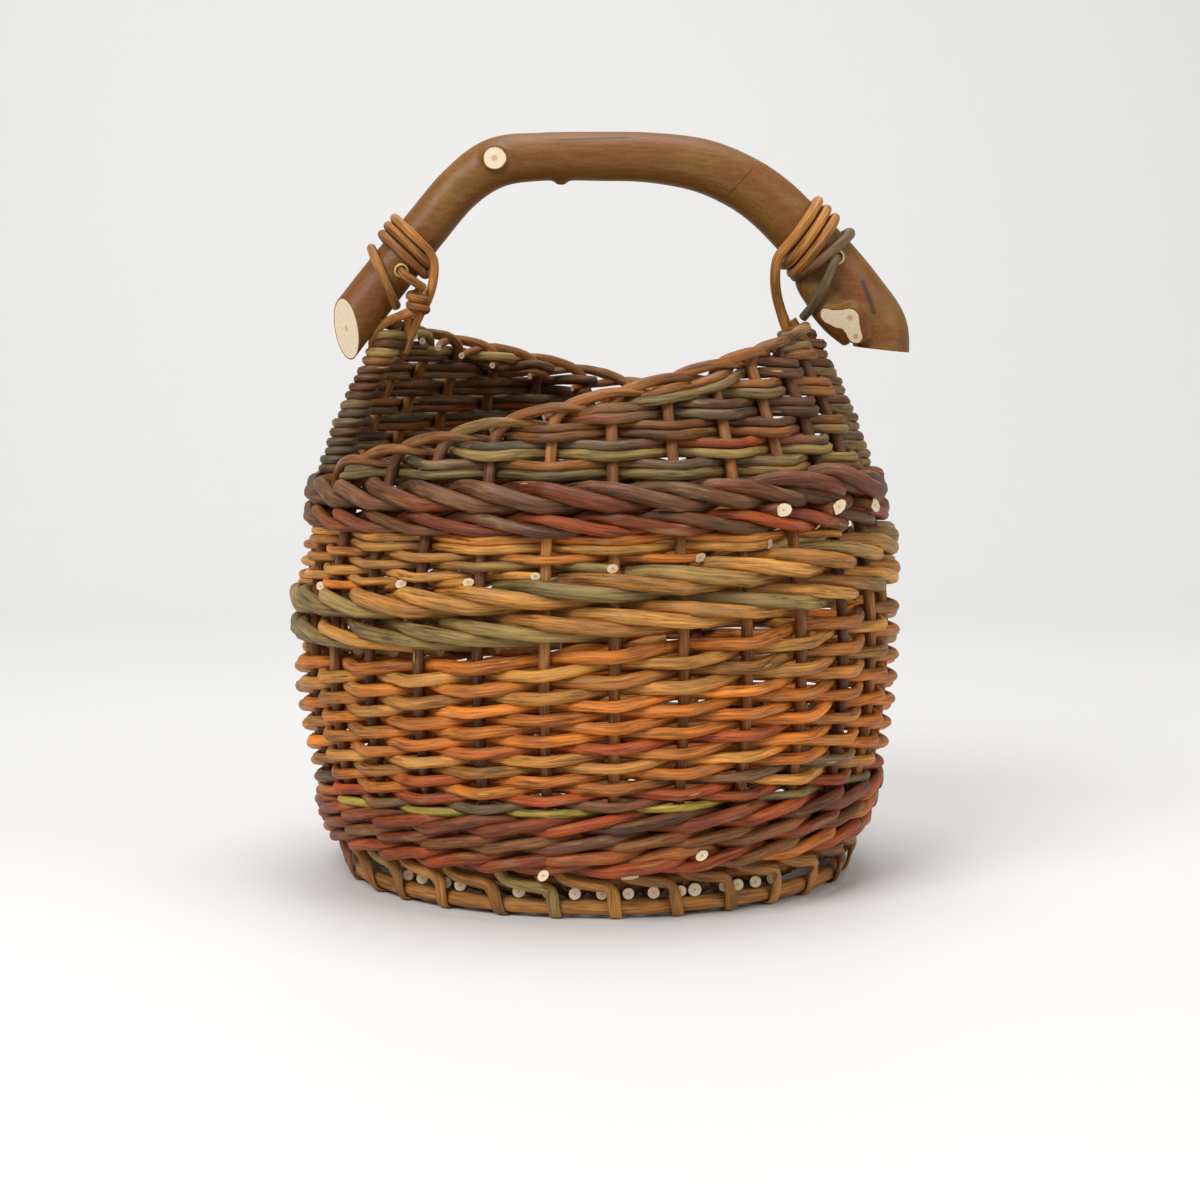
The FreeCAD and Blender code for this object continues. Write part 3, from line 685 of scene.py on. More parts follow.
def wale_rods(rng):
    """Two rounds, the upper one of thicker rods, with cut ends on the front."""
    middle = between(THIN_TOP, WALE_TOP, 0.49)
    lower = wale(rng, between(THIN_TOP, WALE_TOP, -0.06), middle, 8, rods().wale_low / 2, MIXES["wale"], True)
    upper = wale(rng, middle, between(THIN_TOP, WALE_TOP, 1.02), 24, rods().wale / 2, MIXES["wale"], True)
    return lower + upper + butt_ends(rng, WALE_ENDS, WALE_END_RADIUS, MIXES["wale"], 0.3, 1.75)


# The wings' pairs: rise of a row in rod thicknesses, start over the wale, and room under the border and peak
PAIR_RISE, PAIR_START, PAIR_ROOM, LOWER_ROOM, END_ROOM, PEAK_ROOM = 1.86, 0.0042, 0.0052, 0.004, 0.0036, 0.004
# The turn round the edge stake: samples, width as a share of touching it, and how it eases in and out
TURN_SAMPLES, TURN_WIDTH, TURN_EASE = 26, 1.15, 0.0016


def wing_rods(rng, peak):
    """Pairs of thin rods that run from the ramp to the edge stake, wind round it and run back higher up."""
    r = rods().wing / 2
    reach = rods().stake / 2 + r
    rise = PAIR_RISE * rods().wing
    rows = int((RIM_HIGH - WALE_TOP[0] - PEAK_ROOM) / rise)

    def border(s):
        return ramp((s - peak + HALF) / HALF)

    def height(row, s):
        return level(WALE_TOP, s) + PAIR_START + (row + 0.5) * rise

    def low_end(row):
        for s in np.arange(peak - HALF + 1.0, peak, 0.1):
            if border(s) - END_ROOM > height(row, s):
                return s
        return peak

    def run(row, turn, half):
        """One way along the wing, from behind a stake at the ramp to the edge stake."""
        behind = peak + turn + 1 - 2 * math.ceil((peak + turn + 1 - low_end(row) - 0.7) / 2)
        start = behind - 0.12 - 0.1 * half
        s = stations(start, peak)
        side = pass_side(s - peak + turn)
        z = height(row, s) + (half - 0.5) * rods().wing * 0.96 - WING_DIP * np.maximum(side, 0)
        z = np.minimum(z, border(s) - PAIR_ROOM - LOWER_ROOM * (1 - half))
        return s, z, side * reach + tuck(s, start, peak, 1.5 * r, (True, False))

    turns = np.linspace(0, 3 * math.pi, TURN_SAMPLES)[1:-1]
    climb = turns / (3 * math.pi)
    s_turn = peak + TURN_WIDTH * reach / PEAK[0] / STEP * np.sin(turns)
    ease = TURN_EASE * np.sin(2 * math.pi * (climb - 0.5))
    made = []
    for row in range(0, rows, 2):
        for half in (0, 1):
            there, back = run(row, 0, half), run(row + 1, 1, half)
            z_turn = there[1][-1] * (1 - climb) + back[1][-1] * climb + ease
            s, z, out = (
                np.concatenate([a, turn, b[::-1]])
                for a, turn, b in zip(there, (s_turn, z_turn, reach * np.cos(turns)), back)
            )
            thick = r * (1 + wander(rng, len(s), max(3, len(s) // 14), WING_SPREAD))
            made.append(Rod(wall(s, z, out), thick, bark(rng, MIXES["wing"], len(s), 20), rng.random()))
    return made


# Where a stake starts, and where it ends: at the peaks, and under the border where it bends over
STAKE_START, PEAK_STAKE_TOP, BEND_ROOM, STAKE_SAMPLES = 0.024, 0.2866, 0.0085, 44
# A stake's foot, as place along the base in stakes, distance from the middle and height: its run along the
# base, and its hook round the hoop, which leans aside by its own lean. At the front the run lies lower
FOOT_RUN = ((-1.0, 0.1316, 0.0285), (-0.8, 0.1334, 0.0228), (-0.45, 0.1344, 0.0203), (-0.12, 0.1346, 0.0190))
FOOT_HOOK = (
    (0.0, 0.1342, 0.0146), (0.6, 0.1328, 0.0062), (1, 0.1308, 0.0018), (1.2, 0.1272, 0.0009),
    (1.3, 0.1228, 0.0009),
)
FOOT_LEAN, LEAN_SPREAD, FOOT_SINK, FOOT_SPACING = 0.10, 0.07, 0.0032, 0.0022


def stake_top(k):
    """Height where a stake ends or bends over into the border."""
    return PEAK_STAKE_TOP if k % HALF == 0 else float(ramp((k % HALF) / HALF)) - BEND_ROOM


def stake_rods(rng, k):
    """An upright stake, and its foot: a rod that runs along the base and down over the hoop as a tongue."""
    r = rods().stake / 2
    z = np.linspace(STAKE_START, stake_top(k), STAKE_SAMPLES)
    line = wall(np.full(len(z), float(k)), z, np.zeros(len(z)))
    up = Rod(line, r, bark(rng, MIXES["stake"], len(z)), rng.random())
    lean = rng.normal(FOOT_LEAN, LEAN_SPREAD)
    sink = FOOT_SINK * math.exp(-(((k - FRONT_STAKE + 1.3) / 1.6) ** 2))
    path = [FOOT_RUN[0]] + [(s, radius, height - sink) for s, radius, height in FOOT_RUN[1:]]
    path += [(lean * s, radius, height) for s, radius, height in FOOT_HOOK]
    line = spline([radius * outward(k + s) + (0, 0, height) for s, radius, height in path], FOOT_SPACING)
    share = np.linspace(0, 1, len(line))
    flat = np.interp(share, [0, 0.5, 0.64, 1], [1, 0.95, 0.3, 0.28])
    width = np.interp(share, [0, 0.4, 0.62, 0.9, 1], [r, 1.12 * r, 0.0034, 0.0032, 0.0024])
    facing = line - (HOOP_RADIUS * outward(k) + (0, 0, HOOP_HEIGHT))
    facing -= np.outer(facing @ outward(k + STAKES / 4), outward(k + STAKES / 4))
    foot = Rod(line, width, bark(rng, MIXES["foot"], len(line)), rng.random(), flat=flat, facing=facing)
    return up, foot


def kinked(points, spacing, soften=3):
    """A line straight from point to point, evenly sampled, with its corners eased."""
    p = np.asarray(points, float)
    line = []
    for a, b in zip(p, p[1:]):
        count = max(2, int(np.linalg.norm(wall(*b) - wall(*a)) / spacing))
        line.append(a + (b - a) * np.linspace(0, 1, count, endpoint=False)[:, None])
    line = np.vstack(line + [p[-1:]])
    for _ in range(soften):
        line[1:-1] = 0.25 * line[:-2] + 0.5 * line[1:-1] + 0.25 * line[2:]
    return line


# Spacing of a border rod's samples, and how far, in stakes, it may run past the peak
BORDER_SPACING, BORDER_PAST = 0.0035, 0.15


def border_rods(rng, low, stakes):
    """The stakes' upper ends, bent over to the peak, in front of the next stake and behind the one after."""
    r = rods().border / 2
    reach = rods().stake / 2 + r
    made = []
    for k in range(1, HALF):
        top = stake_top(low + k)
        here, over = float(ramp(k / HALF)), float(ramp((k + 1) / HALF))
        places = (
            (0, top - 0.001, 0), (0.02, here - 0.0036, 0), (0.3, here + 0.25 * (over - here), 0.35 * reach),
            (1, over, reach), (1.25, over, reach * 0.75), (2, over - 0.0022, -reach),
            (2.3, over - 0.0035, -1.7 * reach),
        )
        last = HALF - k + BORDER_PAST
        route = [(low + k + ahead, z, out) for ahead, z, out in places if ahead <= last]
        line = kinked(route, BORDER_SPACING)
        share = np.linspace(0, 1, len(line))
        tint = bark(rng, MIXES["border"], len(line))
        own = np.clip(share * 5, 0, 1)[:, None]
        tint = stakes[(low + k) % STAKES][0].tint[-1] * (1 - own) + tint * own
        thick = r * np.interp(share, [0, 0.3, 1], [1, 1.02, 0.6])
        made.append(Rod(wall(*line.T), thick, tint, rng.random()))
    return made


# Settling: rounds, reach of the search past a rod's skin, distance as a share of touching, longest push, and
# shares of a push that is made, of unevenness that is taken out and of a move that is kept in each round
SETTLE_ROUNDS, SETTLE_REACH, SETTLE_GAP, SETTLE_PUSH = 40, 0.0075, 0.96, 0.002
SETTLE_MADE, SETTLE_EVENED, SETTLE_KEPT = 0.6, 0.5, 0.995


def settle(bands, fixed):
    """Presses rods apart where they run into each other or into the stakes, and keeps them smooth."""
    loose = [rod for band in bands for rod in band]
    every = loose + fixed
    rest = np.vstack([rod.line for rod in every])
    radius = np.concatenate([rod.radius for rod in every])
    owner = np.concatenate([np.full(len(rod.line), k) for k, rod in enumerate(every)])
    free = (owner < len(loose)).astype(float)
    tree = KDTree(len(rest))
    for k, p in enumerate(rest):
        tree.insert(p, k)
    tree.balance()
    first, second = [], []
    for k, p in enumerate(rest):
        if free[k]:
            for _, other, _ in tree.find_range(p, radius[k] + SETTLE_REACH):
                if owner[other] != owner[k] and (other > k or not free[other]):
                    first.append(k)
                    second.append(other)
    first, second = np.array(first), np.array(second)
    need = (radius[first] + radius[second]) * SETTLE_GAP
    share_first = np.where(free[second] > 0, 0.5, 1.0)
    inner = np.concatenate([[False] + [True] * (len(rod.line) - 2) + [False] for rod in every])
    inner = np.flatnonzero(inner & (free > 0))
    moved = np.zeros_like(rest)
    for _ in range(SETTLE_ROUNDS):
        now = rest + moved
        gap = now[second] - now[first]
        distance = np.maximum(np.linalg.norm(gap, axis=1), 1e-6)
        push = np.clip(need - distance, 0, SETTLE_PUSH) * SETTLE_MADE
        step = gap * (push / distance)[:, None]
        touched = np.bincount(first, push > 0, len(rest)) + np.bincount(second, push > 0, len(rest))
        total = np.column_stack([
            np.bincount(second, step[:, c] * (1 - share_first), len(rest))
            - np.bincount(first, step[:, c] * share_first, len(rest))
            for c in range(3)
        ])
        moved += total / np.sqrt(np.maximum(touched, 1))[:, None] * free[:, None]
        even = 0.5 * (moved[inner - 1] + moved[inner + 1]) - moved[inner]
        moved[inner] += SETTLE_EVENED * even
        moved *= SETTLE_KEPT
    at = 0
    for rod in loose:
        rod.line = rod.line + moved[at : at + len(rod.line)]
        at += len(rod.line)


class Weave:
    """Every rod of the wall, made once and shared by the operators."""

    bands = None
    stakes = None

    @classmethod
    def get(cls):
        if cls.bands is None:
            cls.stakes = [stake_rods(np.random.default_rng(STAKE_SEED + k), k) for k in range(STAKES)]
            draws = map(np.random.default_rng, BAND_SEEDS)
            cls.bands = {
                "upset_wale": upset_rods(next(draws)),
                "side_rand": side_rods(next(draws)),
                "thin_rand": thin_rods(next(draws)),
                "middle_wale": wale_rods(next(draws)),
                "front_wing_weave": wing_rods(next(draws), 2 * HALF),
                "back_wing_weave": wing_rods(next(draws), HALF),
            }
            borders = {
                "front_border": border_rods(next(draws), HALF, cls.stakes),
                "back_border": border_rods(next(draws), 0, cls.stakes),
            }
            settle(list(cls.bands.values()), [up for up, _ in cls.stakes] + sum(borders.values(), []))
            cls.bands.update(borders)
        return cls


# Materials


class Nodes:
    """A few words for building a node tree."""

    def __init__(self, tree):
        self.tree = tree

    def new(self, kind, **values):
        node = self.tree.nodes.new(kind)
        for key, value in values.items():
            setattr(node, key, value)
        return node

    def link(self, source, target):
        self.tree.links.new(source, target)

    def feed(self, node, socket, value):
        if isinstance(value, bpy.types.NodeSocket):
            self.link(value, node.inputs[socket])
        else:
            node.inputs[socket].default_value = value

    def fed(self, kind, given, **values):
        node = self.new(kind, **values)
        for socket, value in given.items():
            self.feed(node, socket, value)
        return node

    def math(self, operation, a, b=0.0, clamp=False):
        return self.fed("ShaderNodeMath", {0: a, 1: b}, operation=operation, use_clamp=clamp).outputs[0]

    def vector(self, operation, a, b, output="Vector"):
        return self.fed("ShaderNodeVectorMath", {0: a, 1: b}, operation=operation).outputs[output]

    def stretch(self, vector, scale):
        return self.vector("MULTIPLY", vector, scale)

    def noise(self, vector, seed, detail=3.0, rough=0.55):
        given = {"Vector": vector, "W": seed, "Scale": 1.0, "Detail": detail, "Roughness": rough}
        return self.fed("ShaderNodeTexNoise", given, noise_dimensions="4D").outputs["Fac"]

    def band(self, value, low, high, to_low=0.0, to_high=1.0):
        given = {"Value": value, "From Min": low, "From Max": high, "To Min": to_low, "To Max": to_high}
        return self.fed("ShaderNodeMapRange", given, interpolation_type="SMOOTHSTEP").outputs["Result"]

    def mix(self, factor, a, b, blend="MIX"):
        given = {0: factor, 6: a, 7: b}
        return self.fed("ShaderNodeMix", given, data_type="RGBA", blend_type=blend).outputs[2]

    def shaded(self, body, shade):
        plain = self.fed("ShaderNodeCombineColor", dict.fromkeys(("Red", "Green", "Blue"), shade))
        return self.mix(1.0, body, plain.outputs[0], "MULTIPLY")


def group(name, inputs, outputs):
    """A new shader node group: words to build it with, its inputs and its outputs."""
    tree = bpy.data.node_groups.new(name, "ShaderNodeTree")
    for way, sockets in (("INPUT", inputs), ("OUTPUT", outputs)):
        for label, kind in sockets.items():
            tree.interface.new_socket(label, in_out=way, socket_type="NodeSocket" + kind)
    n = Nodes(tree)
    return n, n.new("NodeGroupInput").outputs, n.new("NodeGroupOutput").inputs


def rgba(c):
    """A colour with full cover."""
    return (*c, 1.0)


def bark_group():
    """Streaks, weathered patches, specks and scars of willow bark, over a rod's own colour."""
    n, given, out = group(
        "Willow bark",
        {"Colour": "Color", "Grain": "Vector", "Seed": "Float", "Weathering": "Float"},
        {"Colour": "Color", "Roughness": "Float", "Height": "Float"},
    )
    seed = n.math("MULTIPLY", given["Seed"], 57.0)
    streak = n.noise(n.stretch(given["Grain"], (60.0, 1100.0, 1100.0)), seed, 4.0, 0.65)
    patch_seed, cloud_seed = n.math("ADD", seed, 11.0), n.math("ADD", seed, 23.0)
    patch = n.noise(n.stretch(given["Grain"], (45.0, 240.0, 240.0)), patch_seed, 4.0, 0.6)
    cloud = n.noise(n.stretch(given["Grain"], (22.0, 90.0, 90.0)), cloud_seed, 3.0)
    shade = n.math("ADD", n.band(streak, 0.30, 0.70, 0.42, 1.52), n.band(cloud, 0.3, 0.7, -0.28, 0.28))
    body = n.shaded(given["Colour"], shade)
    grey = n.math("MULTIPLY", n.band(patch, 0.52, 0.68), given["Weathering"])
    body = n.mix(grey, body, rgba(WEATHERED))
    dark = n.math("MULTIPLY", n.band(patch, 0.44, 0.32), n.band(streak, 0.62, 0.40))
    body = n.mix(n.math("MULTIPLY", dark, 0.75), body, rgba(DARK_BARK))
    cells = {"Vector": n.stretch(given["Grain"], (34.0, 230.0, 230.0)), "W": seed, "Scale": 1.0}
    bud = n.fed("ShaderNodeTexVoronoi", cells, voronoi_dimensions="4D")
    spot = n.math("ADD", bud.outputs["Distance"], n.math("MULTIPLY", streak, 0.14))
    scar = n.band(spot, 0.14, 0.22, 1.0, 0.0)
    edge = n.band(spot, 0.20, 0.36, 1.0, 0.0)
    body = n.mix(n.math("MULTIPLY", edge, 0.5), body, rgba(SCAR_EDGE))
    body = n.mix(n.math("MULTIPLY", scar, 0.75), body, rgba(SCAR))
    n.link(body, out["Colour"])
    n.link(n.band(streak, 0.2, 0.8, 0.40, 0.66), out["Roughness"])
    n.link(n.math("ADD", streak, n.math("MULTIPLY", scar, 0.8)), out["Height"])


def cut_group():
    """Growth rings and pith of a cut end, from the distance to the middle."""
    n, given, out = group(
        "Cut wood",
        {"Distance": "Float", "Place": "Vector", "Wood": "Color", "Pith": "Color", "Pith Radius": "Float",
         "Rings": "Float"},
        {"Colour": "Color", "Height": "Float"},
    )
    fleck = n.noise(n.stretch(given["Place"], (900.0, 900.0, 900.0)), 3.0, 3.0)
    wave = n.math("SINE", n.math("MULTIPLY", given["Distance"], given["Rings"]))
    ring = n.band(wave, -1.0, 1.0)
    body = n.mix(n.math("MULTIPLY", n.band(fleck, 0.35, 0.75), 0.35), given["Wood"], given["Pith"])
    body = n.mix(n.math("MULTIPLY", ring, 0.14), body, given["Pith"])
    inner = n.math("DIVIDE", given["Distance"], given["Pith Radius"])
    body = n.mix(n.band(inner, 0.7, 1.2, 0.75, 0.0), body, given["Pith"])
    n.link(body, out["Colour"])
    n.link(n.math("ADD", fleck, n.math("MULTIPLY", ring, 0.3)), out["Height"])


def material(name):
    """A new material: words to build it with, and its shader."""
    made = bpy.data.materials.new(name)
    made.use_nodes = True
    return Nodes(made.node_tree), made.node_tree.nodes["Principled BSDF"]


def use_group(n, name, **values):
    """Puts a node group into a material and feeds it; an underscore stands for a space."""
    given = {label.replace("_", " "): value for label, value in values.items()}
    return n.fed("ShaderNodeGroup", given, node_tree=bpy.data.node_groups[name]).outputs


def bump(n, shader, height, strength, distance):
    """Lets a height show as relief."""
    node = n.fed("ShaderNodeBump", {"Strength": strength, "Distance": distance, "Height": height})
    n.link(node.outputs["Normal"], shader.inputs["Normal"])


BARK_SPECULAR = 0.34


def bark_material(name, weathering):
    """Bark in each rod's own colours."""
    n, shader = material(name)
    tint = n.new("ShaderNodeAttribute", attribute_name="bark_colour")
    grain = n.new("ShaderNodeAttribute", attribute_name="grain")
    made = use_group(
        n, "Willow bark", Colour=tint.outputs["Color"], Grain=grain.outputs["Vector"],
        Seed=tint.outputs["Alpha"], Weathering=weathering,
    )
    n.link(made["Colour"], shader.inputs["Base Color"])
    n.link(made["Roughness"], shader.inputs["Roughness"])
    shader.inputs["Specular IOR Level"].default_value = BARK_SPECULAR
    bump(n, shader, made["Height"], 0.55, 0.0004)


def finish_cut(n, shader, distance, place_at, pith_radius, rings, rough, depth):
    """Gives a material cut wood, by the distance to the middle of the cut."""
    made = use_group(
        n, "Cut wood", Distance=distance, Place=place_at, Wood=rgba(colour("cut")), Pith=rgba(colour("pith")),
        Pith_Radius=pith_radius, Rings=rings,
    )
    n.link(made["Colour"], shader.inputs["Base Color"])
    shader.inputs["Roughness"].default_value = rough
    bump(n, shader, made["Height"], 0.3, depth)


def cut_material():
    """Cut ends of the rods, with rings round each rod's middle line."""
    n, shader = material("cut_wood")
    grain = n.new("ShaderNodeAttribute", attribute_name="grain")
    across = {0: n.stretch(grain.outputs["Vector"], (0.0, 1.0, 1.0))}
    across = n.fed("ShaderNodeVectorMath", across, operation="LENGTH")
    at = n.new("ShaderNodeTexCoord").outputs["Object"]
    finish_cut(n, shader, across.outputs["Value"], at, 0.0007, 7000.0, 0.75, 0.0002)


class BASKET_OT_finishes(bpy.types.Operator):
    """Makes the bark and cut wood materials"""

    bl_idname = "basket.finishes"
    bl_label = "Finishes"

    def execute(self, context):
        bark_group()
        cut_group()
        for name, weathering in (("weaver_bark", 0.45), ("stake_bark", 0.45), ("lash_bark", 0.30)):
            bark_material(name, weathering)
        cut_material()
        return {"FINISHED"}


class BASKET_OT_bands(bpy.types.Operator):
    """Weaves the bands, the wings and the borders of the wall"""

    bl_idname = "basket.bands"
    bl_label = "Bands, wings and borders"

    def execute(self, context):
        for node, band in Weave.get().bands.items():
            sides = THIN_SIDES if "thin" in node or "wing" in node else ROD_SIDES
            weave("woven_" + node, band, sides, node, "weaver_bark")
        return {"FINISHED"}


class BASKET_OT_stakes(bpy.types.Operator):
    """Sets up the stakes with their feet"""

    bl_idname = "basket.stakes"
    bl_label = "Stakes"

    def execute(self, context):
        for k, (up, foot) in enumerate(Weave.get().stakes):
            node = "stake_%02d" % (k + 1)
            weave("willow_" + node, [up, foot], ROD_SIDES, node, "stake_bark")
        return {"FINISHED"}


def hoop_rod(rng, radius, height, thick, start, mix):
    """A rod bent into a ring, its two thinned ends laid over each other."""
    angle = np.linspace(start - HOOP_LAP, start + 2 * math.pi + HOOP_LAP, HOOP_SAMPLES)
    share = np.minimum(angle - angle[0], angle[-1] - angle) / (2 * HOOP_LAP)
    shift = np.where(angle < start + math.pi, 1, -1) * thick * 0.25 * np.clip(1.6 - 2 * share, 0, 1)
    way = radius + shift
    line = np.column_stack([way * np.cos(angle), way * np.sin(angle), np.full(HOOP_SAMPLES, height)])
    return Rod(line, thick / 2 * np.clip(share, 0.35, 1), bark(rng, mix, HOOP_SAMPLES), rng.random())


class BASKET_OT_base(bpy.types.Operator):
    """Builds the base: two hoops, the sticks across and the floor woven over them"""

    bl_idname = "basket.base"
    bl_label = "Base"

    def execute(self, context):
        rng = np.random.default_rng(BASE_SEED)
        hoop = hoop_rod(rng, HOOP_RADIUS, HOOP_HEIGHT, rods().hoop, HOOP_START, MIXES["hoop"])
        weave("willow_base_hoop", [hoop], HOOP_SIDES, "base_hoop", "stake_bark")
        top = hoop_rod(rng, TOP_HOOP_RADIUS, TOP_HOOP_HEIGHT, TOP_HOOP_THICK, TOP_HOOP_START, MIXES["foot"])
        weave("willow_top_hoop", [top], THICK_SIDES, "base_top_hoop", "stake_bark")
        places = np.array(STICK_SHARES) * FLOOR_RADIUS
        sticks, floor = self.sticks(rng, places), self.floor(rng, places)
        weave("willow_base_sticks", sticks, THICK_SIDES, "base_sticks", "stake_bark")
        weave("woven_base_weave", floor, THIN_SIDES, "base_weave", "weaver_bark")
        return {"FINISHED"}

    def sticks(self, rng, places):
        """Straight rods from front to back."""
        r = rods().stick / 2
        made = []
        for x in places:
            reach = math.sqrt(STICK_END_RADIUS**2 - (abs(x) + r) ** 2)
            line = [(x, y, STICK_HEIGHT) for y in np.linspace(-reach, reach, STICK_SAMPLES)]
            thick = r * rng.uniform(0.93, 1.05)
            made.append(Rod(line, thick, bark(rng, MIXES["stick"], STICK_SAMPLES), rng.random()))
        return made

    def floor(self, rng, places):
        """Thin rods over and under the sticks, row by row."""
        r = rods().floor / 2
        lift = rods().stick / 2 + r
        made = []
        for row in range(int((2 * FLOOR_RADIUS - 2 * FLOOR_EDGE) / (FLOOR_PITCH * r))):
            y = -FLOOR_RADIUS + FLOOR_EDGE + row * FLOOR_PITCH * r
            reach = math.sqrt(FLOOR_RADIUS**2 - y * y)
            inside = [k for k, x in enumerate(places) if abs(x) < reach - FLOOR_ROOM]
            if len(inside) < 2:
                continue
            at = [-reach] + [places[k] for k in inside] + [reach]
            over = [0.0] + [lift * (-1) ** (k + row) for k in inside] + [0.0]
            x = np.linspace(-reach, reach, max(8, int(2 * reach / FLOOR_SPACING)))
            line = np.column_stack([x, np.full(len(x), y), STICK_HEIGHT + smooth_through(at, over, x)])
            made.append(Rod(line, r, bark(rng, MIXES["floor"], len(x)), rng.random()))
        return made


def on_handle(along, over, y=0.0):
    """A place by its shares along the handle and over the hinge line."""
    return np.array([along * HANDLE_HALF, y, HINGE_HEIGHT + over * HANDLE_RISE])


# The branch's skin: size of its cells, share and rounds of smoothing, and width of the bark round a cut
SKIN_VOXEL, SKIN_SMOOTHING, CUT_EDGE = 0.0011, (0.5, 10), 0.0007


class BASKET_OT_handle(bpy.types.Operator):
    """Shapes the branch, with its sawn ends, knot and fork"""

    bl_idname = "basket.handle"
    bl_label = "Handle"

    def execute(self, context):
        radius = rods().branch
        line = spline([(*on_handle(a, o), radius * t) for a, o, t in BRANCH], BRANCH_SPACING)
        heel = spline(HEEL, BRANCH_SPACING)
        heel_radius = np.interp(np.linspace(0, 1, len(heel)), *zip(*HEEL_RADII))
        skin = [(line[:, :3], line[:, 3]), (heel, heel_radius)]
        facing = np.array(STUB_FACING) / np.linalg.norm(STUB_FACING)
        for at, wide in STUB:
            stub = np.array(at) + np.outer(np.linspace(*STUB_RUN, 8), facing)
            skin.append((stub, np.linspace(*(share * wide for share in STUB_SHARES), 8)))
        knot = [on_handle(*KNOT, y) for y in np.linspace(*KNOT_RUN, 8)]
        skin.append((knot, np.linspace(*KNOT_RADII, 8)))
        nub = [on_handle(*NUB) + np.array([0, 0, z]) for z in np.linspace(*NUB_RUN, 6)]
        skin.append((nub, np.linspace(*NUB_RADII, 6)))
        made = [Rod(places, wide, colour("branch"), 0.5) for places, wide in skin]
        obj = rod_object("branch_handle", made, BRANCH_SIDES)
        obj.data.materials.append(bpy.data.materials["cut_wood"])
        remesh = obj.modifiers.new("skin", "REMESH")
        remesh.mode = "VOXEL"
        remesh.voxel_size = SKIN_VOXEL
        smooth = obj.modifiers.new("soften", "SMOOTH")
        smooth.factor, smooth.iterations = SKIN_SMOOTHING
        graph = bpy.context.evaluated_depsgraph_get()
        mesh = bpy.data.meshes.new_from_object(obj.evaluated_get(graph))
        obj.modifiers.clear()
        mesh.materials.clear()
        obj.data = mesh
        self.saw(obj)
        branch_material()
        sawn_material()
        place(obj, "handle", "handle_branch", ["handle_bark", "sawn_wood"])
        return {"FINISHED"}

    def saw(self, obj):
        """Saws both ends, the fork's stub and the knot, each at a place, facing a way and within a reach."""
        cuts = (
            (Vector(on_handle(*SAWN_END)), Vector((-0.84, -0.47, -0.25)), 0.045),
            (Vector((0.1460, 0, HINGE_HEIGHT - 0.0184)), Vector((-0.11, 0, -1)), 0.06),
            (Vector(STUB[0][0]), Vector(STUB_FACING), 0.019),
            (Vector(on_handle(*KNOT, KNOT_FRONT)), Vector((0.05, -1, 0.05)), 0.0095),
        )
        bm = bmesh.new()
        bm.from_mesh(obj.data)
        for face in bm.faces:
            face.smooth = True
            face.material_index = 0
        for at, normal, reach in cuts:
            normal.normalize()
            near = [f for f in bm.faces if (f.calc_center_median() - at).length < reach]
            geom = near + list({e for f in near for e in f.edges})
            geom += list({v for f in near for v in f.verts})
            bmesh.ops.bisect_plane(bm, geom=geom, plane_co=at, plane_no=normal, dist=1e-6)
            close = [v for v in bm.verts if (v.co - at).length < 1.3 * reach]
            gone = [v for v in close if (v.co - at).dot(normal) > 1e-5]
            bmesh.ops.delete(bm, geom=gone, context="VERTS")
            open_edges = [e for e in bm.edges if e.is_boundary]
            sawn = bmesh.ops.holes_fill(bm, edges=open_edges, sides=0)["faces"]
            for face in sawn:
                face.material_index = 1
                face.smooth = False
                for edge in face.edges:
                    edge.smooth = False
            for face in bmesh.ops.inset_individual(bm, faces=sawn, thickness=CUT_EDGE)["faces"]:
                face.material_index = 0
        bm.to_mesh(obj.data)
        bm.free()


def from_line(n, at, a, b):
    """Distance of a place, seen from the front, to a line between two places."""
    run = Vector((b[0] - a[0], 0, b[1] - a[1]))
    start = n.vector("SUBTRACT", n.stretch(at, (1.0, 0.0, 1.0)), (a[0], 0.0, a[1]))
    share = n.vector("DOT_PRODUCT", start, tuple(run / run.length_squared), "Value")
    reached = {0: tuple(run), "Scale": n.math("ADD", share, 0.0, True)}
    reached = n.fed("ShaderNodeVectorMath", reached, operation="SCALE").outputs[0]
    return n.vector("DISTANCE", start, reached, "Value")


